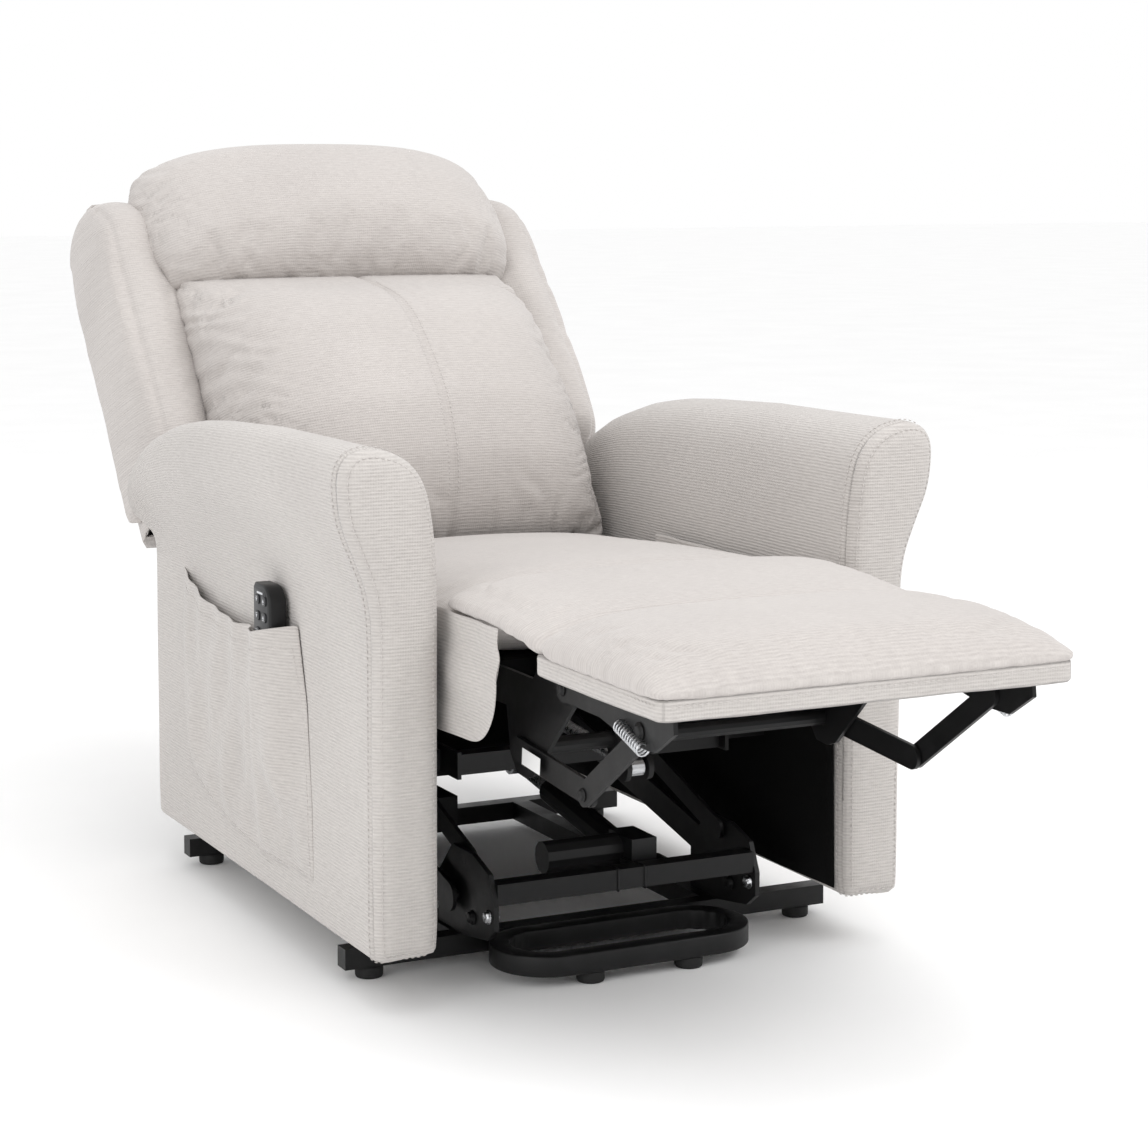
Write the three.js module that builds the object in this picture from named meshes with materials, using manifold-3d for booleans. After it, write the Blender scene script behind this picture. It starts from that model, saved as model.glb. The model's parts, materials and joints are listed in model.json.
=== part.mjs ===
// Powered lift recliner chair, reclined with its footrest out.
// Millimetres, +Z up. The chair faces -Y, X is across it, and the floor is z = 0.
// "side" is -1 for the sitter's right (the side with the hand control) and +1 for the sitter's left.

import * as THREE from 'three';
import { mergeVertices } from 'three/addons/utils/BufferGeometryUtils.js';
import Module from 'manifold-3d';

const wasm = await Module();
wasm.setup();

// ---- driving dimensions -------------------------------------------------------------------

const GAP = 0.3; // air between two pieces that rest on each other
const SIDES = [['right', -1], ['left', 1]];

// Base on the floor
const TUBE = 25; // square tube
const FOOT_HEIGHT = 14;
const FOOT_RADIUS = 17;
const BASE_Z = [FOOT_HEIGHT, FOOT_HEIGHT + TUBE];
const BASE_HALF_WIDTH = 329;
const BASE_FRONT_Y = -245;
const BASE_REAR_Y = 335;
const BASE_RAIL_X = 172;
const LOOP_FRONT_Y = -395;
const LOOP_HALF_WIDTH = 168;

// Lift linkage, as [y, z] pivots in the lowered chair
const LIFT_ARM_BASE = [-244, 84];
const LIFT_ARM_CHAIR = [250, 190];
const GUIDE_BASE = [-264, 132];
const GUIDE_CHAIR = [80, 242.9];
const LIFT_MOTOR_PIVOT = [-310, 108];
const LIFT_TUBE = [60, 165];
const LIFT_ACTUATOR_X = 40;

// Planes of the flat steel pieces, as the lowest and highest distance from the middle
const GUIDE_X = [166, 171];
const BASE_PLATE_X = [173, 179];
const FRAME_RAIL_X = [180.5, 185.5];
const LIFT_ARM_X = [187, 192];
const SEAT_PLATE_X = [194, 199];
const DRIVE_LINK_X = [200.5, 205.5];
const OUTER_LINK_X = [206.5, 211.5];
const BRACKET_X = [212.5, 217.5];
const BACK_LUG_X = [200.5, 206];
const PIN_RADIUS = 6;
const PIN_PLAY = 1; // clearance round the pin that closes the footrest linkage

// Chair frame
const FRAME_TUBE_Z = 243;
const FRAME_FRONT_Y = -235;
const FRAME_REAR_Y = 290;
const GLIDE_PINS_Y = [-150, 120];
const GLIDE_Z = 370;
const SEAT_TRAVEL = 60;

// Upholstered arms
const ARM_INNER = 269;
const ARM_OUTER = 350;
const ARM_FRONT_Y = -394.7;
const ARM_REAR_Y = 406;
const ARM_BOTTOM = 62;
const PANEL_THICKNESS = 17;

// Seat
const SEAT_HALF_WIDTH = 250;
const SEAT_REAR_Y = 150;
const SKIRT_X = [251, 256];
const SEAT_CROSS_TUBES_Y = [-430, -90, 25];
const SEAT_CROSS_Z = 345;
const ACTUATOR_EAR_DROP = 23;

// Footrest
const FOOTREST_HINGE = [-612, 404];
const FOOTREST_Y = [-890, -602];
const FOOTREST_HALF_WIDTH = 248;
const FOOTREST_BOTTOM = 420;
const BOARD_TOP = 443.5;
const PAD_TOP = 482;
const DRIVE_PIVOT = [-470, 310];
const BRACKET_PIVOT = [-790, 392];
const DRIVE_LINK_LENGTH = 180;
const OUTER_LINK_LENGTH = 170;
const DRIVE_CRANK = [-497.5, 281];
const FOOTREST_ACTUATOR_X = -70;

// Backrest: reclined this far from upright, with its own axes s (up the back) and t (towards the sitter)
const BACK_ANGLE = THREE.MathUtils.degToRad(40);
const BACK_PIVOT = [215, 425];
const BACK_CRANK = [250, 330];
const RECLINE_ACTUATOR_X = 70;
const BACK_REAR_T = -135;
const CUSHION_REAR_T = -39.7;
const BACK_HALF_WIDTH = 330;
const WING_X = [256, 345];

// Hand control in its pocket on the right arm
const POCKET_DEPTH = 34;
const POCKET_WALL = 3;
const HANDSET_X = [-378, -355];
const HANDSET_Y = [-141, -84];
const HANDSET_Z = [267, 457];
const BUTTON = [15, 12]; // along Y and Z
const BUTTON_ROWS_Z = [438, 418, 398];
const BUTTON_COLUMNS_Y = [-124, -101];

// ---- shape helpers ------------------------------------------------------------------------

function toSolid(geometry) {
  const bare = geometry.clone();
  bare.deleteAttribute('normal');
  bare.deleteAttribute('uv');
  const merged = mergeVertices(bare, 1e-4);
  return new wasm.Manifold(new wasm.Mesh({
    numProp: 3,
    vertProperties: new Float32Array(merged.attributes.position.array),
    triVerts: new Uint32Array(merged.index.array),
  }));
}

function toGeometry(solid) {
  const mesh = solid.getMesh();
  const geometry = new THREE.BufferGeometry();
  geometry.setAttribute('position', new THREE.BufferAttribute(new Float32Array(mesh.vertProperties), 3));
  geometry.setIndex(new THREE.BufferAttribute(new Uint32Array(mesh.triVerts), 1));
  geometry.computeVertexNormals();
  return geometry;
}

function join(...geometries) {
  return toGeometry(geometries.map(toSolid).reduce((a, b) => a.add(b)));
}

function cut(geometry, ...tools) {
  return toGeometry(tools.map(toSolid).reduce((a, b) => a.subtract(b), toSolid(geometry)));
}

function common(a, b) {
  return toGeometry(toSolid(a).intersect(toSolid(b)));
}

// A box from its ranges along X, Y and Z
function block(x, y, z) {
  const size = [x, y, z].map((range) => range[1] - range[0]);
  const middle = [x, y, z].map((range) => (range[0] + range[1]) / 2);
  return new THREE.BoxGeometry(...size).translate(...middle);
}

// Ordered x range of a piece that lies between two distances from the middle, on one side
function across(side, distances) {
  return side > 0 ? distances : [-distances[1], -distances[0]];
}

// A closed outline, always anticlockwise so that it can take holes
function shapeOf(outline) {
  const points = outline.map((p) => new THREE.Vector2(...p));
  if (THREE.ShapeUtils.isClockWise(points)) points.reverse();
  return new THREE.Shape(points);
}

// An outline of [y, z] points, extruded along X over a range
function sidePlate(outline, x, holes = []) {
  const shape = Array.isArray(outline) ? shapeOf(outline) : outline;
  shape.holes.push(...holes);
  const depth = x[1] - x[0];
  const plate = new THREE.ExtrudeGeometry(shape, { depth, bevelEnabled: false, curveSegments: 8 });
  const turn = new THREE.Matrix4().makeBasis(
    new THREE.Vector3(0, 1, 0), new THREE.Vector3(0, 0, 1), new THREE.Vector3(1, 0, 0));
  return plate.applyMatrix4(turn).translate(x[0], 0, 0);
}

// An outline of [x, z] points, extruded along Y over a range
function frontPlate(outline, y) {
  const depth = y[1] - y[0];
  const plate = new THREE.ExtrudeGeometry(shapeOf(outline), { depth, bevelEnabled: false });
  const turn = new THREE.Matrix4().makeBasis(
    new THREE.Vector3(1, 0, 0), new THREE.Vector3(0, 0, 1), new THREE.Vector3(0, -1, 0));
  return plate.applyMatrix4(turn).translate(0, y[1], 0);
}

function circleHole([y, z], radius) {
  return new THREE.Path().absarc(y, z, radius, 0, 2 * Math.PI, true);
}

// A round rod between two points in space
function rod(from, to, radius, segments = 12) {
  const a = new THREE.Vector3(...from);
  const b = new THREE.Vector3(...to);
  const along = b.clone().sub(a);
  const geometry = new THREE.CylinderGeometry(radius, radius, along.length(), segments);
  const turn = new THREE.Quaternion().setFromUnitVectors(
    new THREE.Vector3(0, 1, 0), along.clone().normalize());
  return geometry.applyQuaternion(turn).translate(...a.add(b).multiplyScalar(0.5).toArray());
}

// A pin along X through a [y, z] point
function pin([y, z], x, radius = PIN_RADIUS) {
  return rod([x[0], y, z], [x[1], y, z], radius);
}

// A flat bar with round ends between two [y, z] points
function linkShape(from, to, radius) {
  const turn = Math.atan2(to[1] - from[1], to[0] - from[0]);
  const shape = new THREE.Shape();
  shape.absarc(...to, radius, turn - Math.PI / 2, turn + Math.PI / 2, false);
  shape.absarc(...from, radius, turn + Math.PI / 2, turn + 1.5 * Math.PI, false);
  return shape;
}

function pointAlong(from, to, distance) {
  const length = Math.hypot(to[0] - from[0], to[1] - from[1]);
  return from.map((value, i) => value + ((to[i] - value) * distance) / length);
}

// The knee of a two-bar linkage that hangs below the line between its ends
function knee(from, fromLength, to, toLength) {
  const span = Math.hypot(to[0] - from[0], to[1] - from[1]);
  const along = (fromLength ** 2 - toLength ** 2 + span ** 2) / (2 * span);
  const off = Math.sqrt(fromLength ** 2 - along ** 2);
  const unit = [(to[0] - from[0]) / span, (to[1] - from[1]) / span];
  return [from[0] + unit[0] * along - unit[1] * off, from[1] + unit[1] * along + unit[0] * off];
}

// A place on the backrest, from its own axes to [y, z]
function onBack(s, t) {
  const sin = Math.sin(BACK_ANGLE);
  const cos = Math.cos(BACK_ANGLE);
  return [s * sin - t * cos, s * cos + t * sin];
}

function backPlate(outline, x) {
  return sidePlate(outline.map(([s, t]) => onBack(s, t)), x);
}

// ---- materials ----------------------------------------------------------------------------

const FINISHES = {
  fabric: { color: 0xcfc7bd, roughness: 0.95, metalness: 0 },
  lining: { color: 0x1a1a1b, roughness: 0.95, metalness: 0 },
  steel: { color: 0x1c1c1e, roughness: 0.45, metalness: 0.6 },
  zinc: { color: 0xb8bcc0, roughness: 0.3, metalness: 0.9 },
  rubber: { color: 0x151515, roughness: 0.8, metalness: 0 },
  plastic: { color: 0x202124, roughness: 0.5, metalness: 0 },
  button: { color: 0xc9ccd0, roughness: 0.5, metalness: 0 },
};

const chair = new THREE.Group();

function add(name, geometry, finish) {
  const piece = new THREE.Mesh(geometry, new THREE.MeshStandardMaterial(FINISHES[finish]));
  piece.name = name;
  chair.add(piece);
}

// ---- base ---------------------------------------------------------------------------------

function addBase() {
  const half = TUBE / 2;
  const crossTube = (y) => block([-BASE_HALF_WIDTH, BASE_HALF_WIDTH], [y - half, y + half], BASE_Z);
  const sideRail = (x) => block([x - half, x + half], [BASE_FRONT_Y, BASE_REAR_Y], BASE_Z);
  add('base_frame', join(crossTube(BASE_FRONT_Y), crossTube(BASE_REAR_Y),
    sideRail(-BASE_RAIL_X), sideRail(BASE_RAIL_X)), 'steel');

  const loopRear = BASE_FRONT_Y - half - GAP;
  const loopRadius = (loopRear - LOOP_FRONT_Y) / 2;
  const loopMiddle = (loopRear + LOOP_FRONT_Y) / 2;
  const stadium = (path, radius) => {
    path.absarc(LOOP_HALF_WIDTH - loopRadius, 0, radius, -Math.PI / 2, Math.PI / 2, false);
    path.absarc(loopRadius - LOOP_HALF_WIDTH, 0, radius, Math.PI / 2, 1.5 * Math.PI, false);
    return path;
  };
  const loop = stadium(new THREE.Shape(), loopRadius);
  loop.holes.push(stadium(new THREE.Path(), loopRadius - TUBE));
  add('front_loop_tube', new THREE.ExtrudeGeometry(loop, { depth: TUBE, bevelEnabled: false, curveSegments: 8 })
    .translate(0, loopMiddle, BASE_Z[0]), 'steel');

  const feet = [
    ['foot_front_right', -294, BASE_FRONT_Y], ['foot_front_left', 294, BASE_FRONT_Y],
    ['foot_rear_right', -294, BASE_REAR_Y], ['foot_rear_left', 294, BASE_REAR_Y],
    ['foot_loop_right', -66, LOOP_FRONT_Y + half + 5], ['foot_loop_left', 66, LOOP_FRONT_Y + half + 5],
  ];
  for (const [name, x, y] of feet) {
    add(name, rod([x, y, 0], [x, y, FOOT_HEIGHT - GAP], FOOT_RADIUS), 'rubber');
  }

  const foot = BASE_Z[1] + GAP;
  const outline = [[-352, 66], [-330, 50], [-260, foot], [-187, foot], [-187, 100],
    [-230, 144], [-290, 144], [-336, 130], [-352, 95]];
  for (const [word, side] of SIDES) {
    const holes = [circleHole(LIFT_ARM_BASE, PIN_RADIUS + GAP), circleHole(GUIDE_BASE, PIN_RADIUS + GAP)];
    add(`base_plate_${word}`, sidePlate(outline, across(side, BASE_PLATE_X), holes), 'steel');
  }

  const tubeEnd = BASE_PLATE_X[0] - GAP;
  const ear = (x) => cut(block([x - 2.5, x + 2.5], [-325, -298], [96, 120]),
    pin(LIFT_MOTOR_PIVOT, [x - 4, x + 4], PIN_RADIUS + GAP));
  add('base_upper_tube', join(block([-tubeEnd, tubeEnd], [-348, -323], [95, 120]),
    ear(LIFT_ACTUATOR_X - 24), ear(LIFT_ACTUATOR_X + 24)), 'steel');

  add('power_unit', join(block([-110, 20], [205, 300], [BASE_Z[1] + GAP, 88]),
    block([-110, -60], [300, BASE_REAR_Y + half], [BASE_Z[1] + GAP, 62])), 'plastic');
}

// ---- lift linkage -------------------------------------------------------------------------

function addLift() {
  for (const [word, side] of SIDES) {
    const arm = join(
      sidePlate(linkShape(LIFT_ARM_BASE, LIFT_ARM_CHAIR, 18), across(side, LIFT_ARM_X)),
      sidePlate([[20, 142], [100, 160], [78, 180], [60, 184], [42, 176]], across(side, LIFT_ARM_X)),
      pin(LIFT_ARM_BASE, across(side, [BASE_PLATE_X[0], LIFT_ARM_X[0] + 1])),
      pin(LIFT_ARM_CHAIR, across(side, [FRAME_RAIL_X[0], LIFT_ARM_X[0] + 1])));
    add(`lift_arm_${word}`, arm, 'steel');
    const guide = join(
      sidePlate(linkShape(GUIDE_BASE, GUIDE_CHAIR, 13), across(side, GUIDE_X)),
      pin(GUIDE_BASE, across(side, [GUIDE_X[1] - 1, BASE_PLATE_X[1]])));
    add(`guide_link_${word}`, guide, 'steel');
  }
  const tubeEnd = LIFT_ARM_X[0] - GAP;
  add('lift_cross_tube', pin(LIFT_TUBE, [-tubeEnd, tubeEnd], 10), 'steel');

  const at = ([y, z]) => [LIFT_ACTUATOR_X, y, z];
  const housingStart = pointAlong(LIFT_MOTOR_PIVOT, LIFT_TUBE, 48);
  const housingEnd = pointAlong(LIFT_MOTOR_PIVOT, LIFT_TUBE, 262);
  add('lift_motor', cut(join(
    block([LIFT_ACTUATOR_X - 17, LIFT_ACTUATOR_X + 17], [-312, -250], [92, 144]),
    rod([-78, -270, 124], [LIFT_ACTUATOR_X, -270, 124], 20),
    rod(at(housingStart), at(housingEnd), 17),
    pin(LIFT_MOTOR_PIVOT, [LIFT_ACTUATOR_X - 28, LIFT_ACTUATOR_X + 28])),
  rod(at(pointAlong(LIFT_MOTOR_PIVOT, LIFT_TUBE, 90)), at(pointAlong(LIFT_MOTOR_PIVOT, LIFT_TUBE, 300)), 9.5)),
  'plastic');
  add('lift_rod', cut(join(
    rod(at(pointAlong(LIFT_MOTOR_PIVOT, LIFT_TUBE, 140)), at(pointAlong(LIFT_MOTOR_PIVOT, LIFT_TUBE, 362)), 9),
    pin(LIFT_TUBE, [LIFT_ACTUATOR_X - 9, LIFT_ACTUATOR_X + 9], 18)),
  pin(LIFT_TUBE, [LIFT_ACTUATOR_X - 20, LIFT_ACTUATOR_X + 20], 14)), 'zinc');
}

// ---- chair frame and arms -----------------------------------------------------------------

function addChairFrame() {
  const half = TUBE / 2;
  const tubeZ = [FRAME_TUBE_Z - half, FRAME_TUBE_Z + half];
  const outline = [[-262, 229], [62, 229], [96, 229], [226, 226], [230, 176], [270, 176], [290, 229], [290, 262],
    [138, 262], [136, 386], [104, 386], [102, 262], [-133, 262], [-134, 386], [-166, 386], [-168, 262], [-262, 262]];
  for (const [word, side] of SIDES) {
    const x = across(side, FRAME_RAIL_X);
    const rail = cut(sidePlate(outline, x),
      pin(LIFT_ARM_CHAIR, [x[0] - 2, x[1] + 2], PIN_RADIUS + GAP));
    const glideX = across(side, [FRAME_RAIL_X[1] - 1, SEAT_PLATE_X[1]]);
    const glidePins = GLIDE_PINS_Y.map((y) => pin([y, GLIDE_Z], glideX, 8));
    const outrigger = block(across(side, [FRAME_RAIL_X[0] + 1, ARM_INNER - GAP]), [-210, -185], tubeZ);
    const guidePin = pin(GUIDE_CHAIR, across(side, [GUIDE_X[1] + GAP, FRAME_RAIL_X[0] + 1]));
    add(`frame_rail_${word}`, join(rail, outrigger, guidePin, ...glidePins), 'steel');
  }
  const frontEnd = FRAME_RAIL_X[0] - GAP;
  add('frame_front_tube', block([-frontEnd, frontEnd], [FRAME_FRONT_Y - half, FRAME_FRONT_Y + half], tubeZ), 'steel');
  const rearEnd = ARM_INNER - GAP;
  add('frame_rear_tube', block([-rearEnd, rearEnd], [FRAME_REAR_Y + GAP, FRAME_REAR_Y + GAP + TUBE], tubeZ), 'steel');

  // Arm section across the chair, and arm outline from the side
  const section = [[277, 67], [284, ARM_BOTTOM], [344, ARM_BOTTOM], [ARM_OUTER, 70], [ARM_OUTER, 440], [354, 480],
    [369, 517], [383, 550], [390, 585], [392, 620], [384, 638], [366, 646], [345, 648], [320, 643], [300, 629],
    [286, 606], [277, 570], [271, 520], [ARM_INNER, 470], [ARM_INNER, 150]];
  const profile = [[ARM_FRONT_Y, 40], [ARM_REAR_Y, 40], [ARM_REAR_Y, 500], [396, 545], [360, 582], [300, 604],
    [222, 622], [75, 637], [-88, 649], [ARM_FRONT_Y, 652]];
  const mirrored = (side) => (side > 0 ? section : section.map(([x, z]) => [-x, z]).reverse());
  for (const [word, side] of SIDES) {
    const length = frontPlate(mirrored(side), [ARM_FRONT_Y, ARM_REAR_Y]);
    add(`arm_${word}`, common(length, sidePlate(profile, across(side, [260, 400]))), 'fabric');
    const panelY = [ARM_FRONT_Y - GAP - PANEL_THICKNESS, ARM_FRONT_Y - GAP];
    add(`arm_front_${word}`, frontPlate(mirrored(side), panelY), 'fabric');
  }
}

// ---- seat ---------------------------------------------------------------------------------

function addSeat() {
  const half = TUBE / 2;
  const outline = [[-580, 466], [-592, 444], [-599, 420], [-612, 417], [-621, 413], [-625, 404], [-621, 395],
    [-605, 384], [-592, 372], [-500, 284], [-482, 278], [-458, 280], [-440, 300], [-430, 352],
    [190, 352], [206, 392], [236, 406], [240, 432], [222, 450], [200, 444], [186, 394], [-500, 394], [-540, 440], [-548, 466]];
  const slot = (y) => linkShape([y - SEAT_TRAVEL, GLIDE_Z], [y, GLIDE_Z], 8 + GAP);
  const pieces = SIDES.map(([, side]) => sidePlate(outline, across(side, SEAT_PLATE_X), [
    circleHole(FOOTREST_HINGE, PIN_RADIUS + GAP), circleHole(BACK_PIVOT, PIN_RADIUS + GAP),
    circleHole(DRIVE_PIVOT, PIN_RADIUS + 4 + GAP), ...GLIDE_PINS_Y.map(slot)]));
  const span = SEAT_PLATE_X[0] + 1;
  for (const y of SEAT_CROSS_TUBES_Y) {
    pieces.push(block([-span, span], [y - half, y + half], [SEAT_CROSS_Z + 7.5, SEAT_CROSS_Z + 7.5 + TUBE]));
  }
  const ears = [[RECLINE_ACTUATOR_X, SEAT_CROSS_TUBES_Y[1]], [FOOTREST_ACTUATOR_X, SEAT_CROSS_TUBES_Y[2]]];
  for (const [x, y] of ears) {
    for (const offset of [-21, 21]) {
      const pivot = [y, SEAT_CROSS_Z - ACTUATOR_EAR_DROP];
      const ear = block([x + offset - 2, x + offset + 2], [y - 10, y + 10], [pivot[1] - 11, SEAT_CROSS_Z + 9]);
      pieces.push(cut(ear, pin(pivot, [x + offset - 4, x + offset + 4], PIN_RADIUS + GAP)));
    }
  }
  add('seat_frame', join(...pieces), 'steel');

  const width = [-SEAT_HALF_WIDTH, SEAT_HALF_WIDTH];
  add('seat_cushion', sidePlate([[-394, 398], [SEAT_REAR_Y, 398], [SEAT_REAR_Y, 446], [100, 449], [-150, 462],
    [-320, 477], [-394, 480]], width), 'fabric');
  add('chaise_pad', sidePlate([[-394.5, 468], [-394.5, 481], [-480, 486], [-570, 484], [-592, 478], [-590, 469],
    [-545, 467.5], [-520, 467.5]], width), 'fabric');
  const skirt = [[-525, 470], [-522, 385], [-500, 352], [-439, 330], [-368, 318], [60, 318], [60, 440], [-394, 470]];
  for (const [word, side] of SIDES) {
    add(`seat_skirt_${word}`, sidePlate(skirt, across(side, SKIRT_X)), 'fabric');
  }
}

// ---- backrest -----------------------------------------------------------------------------

function addBackrest() {
  const inside = BACK_HALF_WIDTH - 3;
  const width = [-BACK_HALF_WIDTH, BACK_HALF_WIDTH];
  const shell = cut(
    backPlate([[652, BACK_REAR_T], [1196, BACK_REAR_T], [1206, -52], [652, -52]], width),
    backPlate([[655, BACK_REAR_T + 3], [1193, BACK_REAR_T + 3], [1202, -40], [655, -40]], [-inside, inside]),
    backPlate([[640, -76], [660, -76], [660, -40], [640, -40]], [-inside, inside]));
  add('back_rear_cover', shell, 'fabric');

  const rail = [[665, -128], [1185, -128], [1190, -58], [665, -58]];
  const pieces = SIDES.map(([, side]) => backPlate(rail, across(side, [290, 312])));
  for (const s of [[670, 720], [900, 950], [1120, 1180]]) {
    pieces.push(backPlate([[s[0], -128], [s[1], -128], [s[1], -106], [s[0], -106]], [-300, 300]));
  }
  const lug = [[770, -122], [770, -45], [650, -45], [480, 122], [455, 125], [442, 108], [396, 30], [398, 8],
    [425, 4], [640, -66], [668, -68], [680, -122]];
  for (const [, side] of SIDES) {
    pieces.push(backPlate(lug, across(side, BACK_LUG_X)));
    pieces.push(backPlate([[672, -125], [718, -125], [718, -62], [672, -62]], across(side, [205, 300])));
    pieces.push(pin(BACK_PIVOT, across(side, [SEAT_PLATE_X[0], BACK_LUG_X[0] + 1])));
  }
  pieces.push(pin(BACK_CRANK, [-BACK_LUG_X[0] - 1, BACK_LUG_X[0] + 1], 10));
  add('back_frame', join(...pieces), 'steel');

  const cushion = [[650, CUSHION_REAR_T], [896, CUSHION_REAR_T], [893, 160], [850, 200], [772, 226], [700, 240],
    [631, 245], [551, 228], [505, 200], [484, 162]];
  add('back_cushion', backPlate(cushion, [-SEAT_HALF_WIDTH, SEAT_HALF_WIDTH]), 'fabric');
  const headrest = [[900, CUSHION_REAR_T], [1205, CUSHION_REAR_T], [1226, 20], [1222, 60], [1176, 122],
    [1100, 160], [1000, 182], [930, 180], [898, 162]];
  add('headrest', backPlate(headrest, [-SEAT_HALF_WIDTH, SEAT_HALF_WIDTH]), 'fabric');
  const wing = [[694, CUSHION_REAR_T], [1190, CUSHION_REAR_T], [1165, 0], [1120, 42], [1050, 70], [900, 84],
    [730, 78], [698, 52]];
  for (const [word, side] of SIDES) {
    add(`back_wing_${word}`, backPlate(wing, across(side, WING_X)), 'fabric');
  }
}

// A linear actuator between two [y, z] pivots, as a housing with its motor, and a sliding rod.
// The rod starts rodStart from the first pivot. Its end is an eye, or a plain boss where rodEndHole is 0.
function addActuator(name, x, from, to, bodyLength, rodStart, rodEndHole) {
  const at = (distance) => [x, ...pointAlong(from, to, distance)];
  const length = Math.hypot(to[0] - from[0], to[1] - from[1]);
  const forward = Math.sign(to[0] - from[0]);
  const motorY = from[0] + forward * 58;
  const motorZ = pointAlong(from, to, 58)[1];
  const housing = join(
    block([x - 17, x + 17], [motorY - 34, motorY + 34], [motorZ - 25, motorZ + 21]),
    rod(at(-8), at(60), 11),
    rod([x, motorY, motorZ - 2], [x + Math.sign(x) * 86, motorY, motorZ - 2], 19),
    rod(at(50), at(bodyLength), 15),
    pin(from, [x - 24, x + 24]));
  add(`${name}_motor`, cut(housing, rod(at(120), at(bodyLength + 20), 8.5)), 'plastic');
  const boss = pin(to, [x - 8, x + 8], Math.max(rodEndHole + 5, 10));
  const sliding = join(rod(at(rodStart), at(length - rodEndHole - 2), 8), boss);
  const eye = rodEndHole > 0 ? cut(sliding, pin(to, [x - 20, x + 20], rodEndHole)) : sliding;
  add(`${name}_rod`, eye, 'zinc');
}

// ---- footrest -----------------------------------------------------------------------------

function addFootrest() {
  const width = [-FOOTREST_HALF_WIDTH, FOOTREST_HALF_WIDTH];
  add('footrest_board', block(width, FOOTREST_Y, [FOOTREST_BOTTOM, BOARD_TOP]), 'fabric');
  const bottom = BOARD_TOP + GAP;
  add('footrest_pad', sidePlate([[FOOTREST_Y[0], bottom], [FOOTREST_Y[1], bottom], [FOOTREST_Y[1], PAD_TOP - 6],
    [-640, PAD_TOP], [-840, PAD_TOP + 4], [-882, PAD_TOP - 4], [FOOTREST_Y[0], PAD_TOP - 16]], width), 'fabric');

  const under = FOOTREST_BOTTOM - GAP;
  const bracket = [[-860, under], [-862, 402], [-820, 376], [-776, 376], [-700, 390], [-625, 391], [-612, 389],
    [-600, 394], [-596, 404], [-603, under]];
  const joint = knee(DRIVE_PIVOT, DRIVE_LINK_LENGTH, BRACKET_PIVOT, OUTER_LINK_LENGTH);
  for (const [word, side] of SIDES) {
    add(`footrest_bracket_${word}`, join(
      sidePlate(bracket, across(side, BRACKET_X), [circleHole(BRACKET_PIVOT, PIN_RADIUS + PIN_PLAY)]),
      pin(FOOTREST_HINGE, across(side, [SEAT_PLATE_X[0], BRACKET_X[0] + 1]))), 'steel');
    add(`drive_link_${word}`, join(
      sidePlate(linkShape(DRIVE_PIVOT, joint, 14), across(side, DRIVE_LINK_X)),
      pin(joint, across(side, [DRIVE_LINK_X[1] - 1, OUTER_LINK_X[1]]))), 'steel');
    add(`outer_link_${word}`, join(
      sidePlate(linkShape(joint, BRACKET_PIVOT, 13), across(side, OUTER_LINK_X),
        [circleHole(joint, PIN_RADIUS + GAP)]),
      pin(BRACKET_PIVOT, across(side, [OUTER_LINK_X[1] - 1, BRACKET_X[1]]))), 'steel');
  }
  const driveEnd = DRIVE_LINK_X[0] - GAP;
  const crank = linkShape(DRIVE_PIVOT, DRIVE_CRANK, 15);
  const cranks = [-14, 14].map((offset) => {
    const middle = FOOTREST_ACTUATOR_X + offset;
    return sidePlate(crank, [middle - 3, middle + 3]);
  });
  add('drive_tube', join(pin(DRIVE_PIVOT, [-driveEnd, driveEnd], 10), ...cranks), 'steel');
}

// ---- hand control -------------------------------------------------------------------------

function addHandControl() {
  const outer = [[-214, 113], [-196, 329], [-167, 412], [-101, 399], [28, 389], [141, 399], [265, 425],
    [270, 330], [262, 200], [230, 145], [114, 122], [-27, 105]];
  const inner = [[-205, 122], [-188, 327], [-160, 440], [258, 440], [262, 330], [254, 203], [226, 152], [113, 130],
    [-27, 113]];
  const outside = -ARM_OUTER - POCKET_DEPTH;
  const back = -ARM_OUTER - GAP;
  add('handset_pocket', cut(sidePlate(outer, [outside, back]),
    sidePlate(inner, [outside + POCKET_WALL, back + 5])), 'fabric');

  const [y0, y1] = HANDSET_Y;
  const [z0, z1] = HANDSET_Z;
  const body = sidePlate([[y0 + 14, z1], [y0 + 4, z1 - 5], [y0, z1 - 16], [y0, z0 + 12], [y0 + 12, z0], [y1 - 12, z0],
    [y1, z0 + 12], [y1, z1 - 6], [y1 - 6, z1]], HANDSET_X);
  const [width, height] = BUTTON;
  const places = [];
  BUTTON_ROWS_Z.forEach((z, row) => {
    BUTTON_COLUMNS_Y.forEach((y, column) => places.push([`button_${row + 1}${'ab'[column]}`, y, z]));
  });
  const wells = places.map(([, y, z]) => block([HANDSET_X[0] - 2, HANDSET_X[0] + 5],
    [y - width / 2 - GAP, y + width / 2 + GAP], [z - height / 2 - GAP, z + height / 2 + GAP]));
  add('handset', cut(body, ...wells), 'plastic');
  for (const [name, y, z] of places) {
    add(name, block([HANDSET_X[0] - 1.2, HANDSET_X[0] + 3], [y - width / 2, y + width / 2],
      [z - height / 2, z + height / 2]), 'button');
  }
}

addBase();
addLift();
addChairFrame();
addSeat();
addBackrest();
addActuator('recline', RECLINE_ACTUATOR_X,
  [SEAT_CROSS_TUBES_Y[1], SEAT_CROSS_Z - ACTUATOR_EAR_DROP], BACK_CRANK, 245, 150, 13);
addFootrest();
addActuator('footrest', FOOTREST_ACTUATOR_X,
  [SEAT_CROSS_TUBES_Y[2], SEAT_CROSS_Z - ACTUATOR_EAR_DROP], DRIVE_CRANK, 330, 200, 0);
addHandControl();

// The origin is on the floor, under the middle of the reclined chair
const middle = new THREE.Box3().setFromObject(chair).getCenter(new THREE.Vector3());
chair.position.y = -middle.y;

export default chair;
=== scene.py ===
import json
import math

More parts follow.
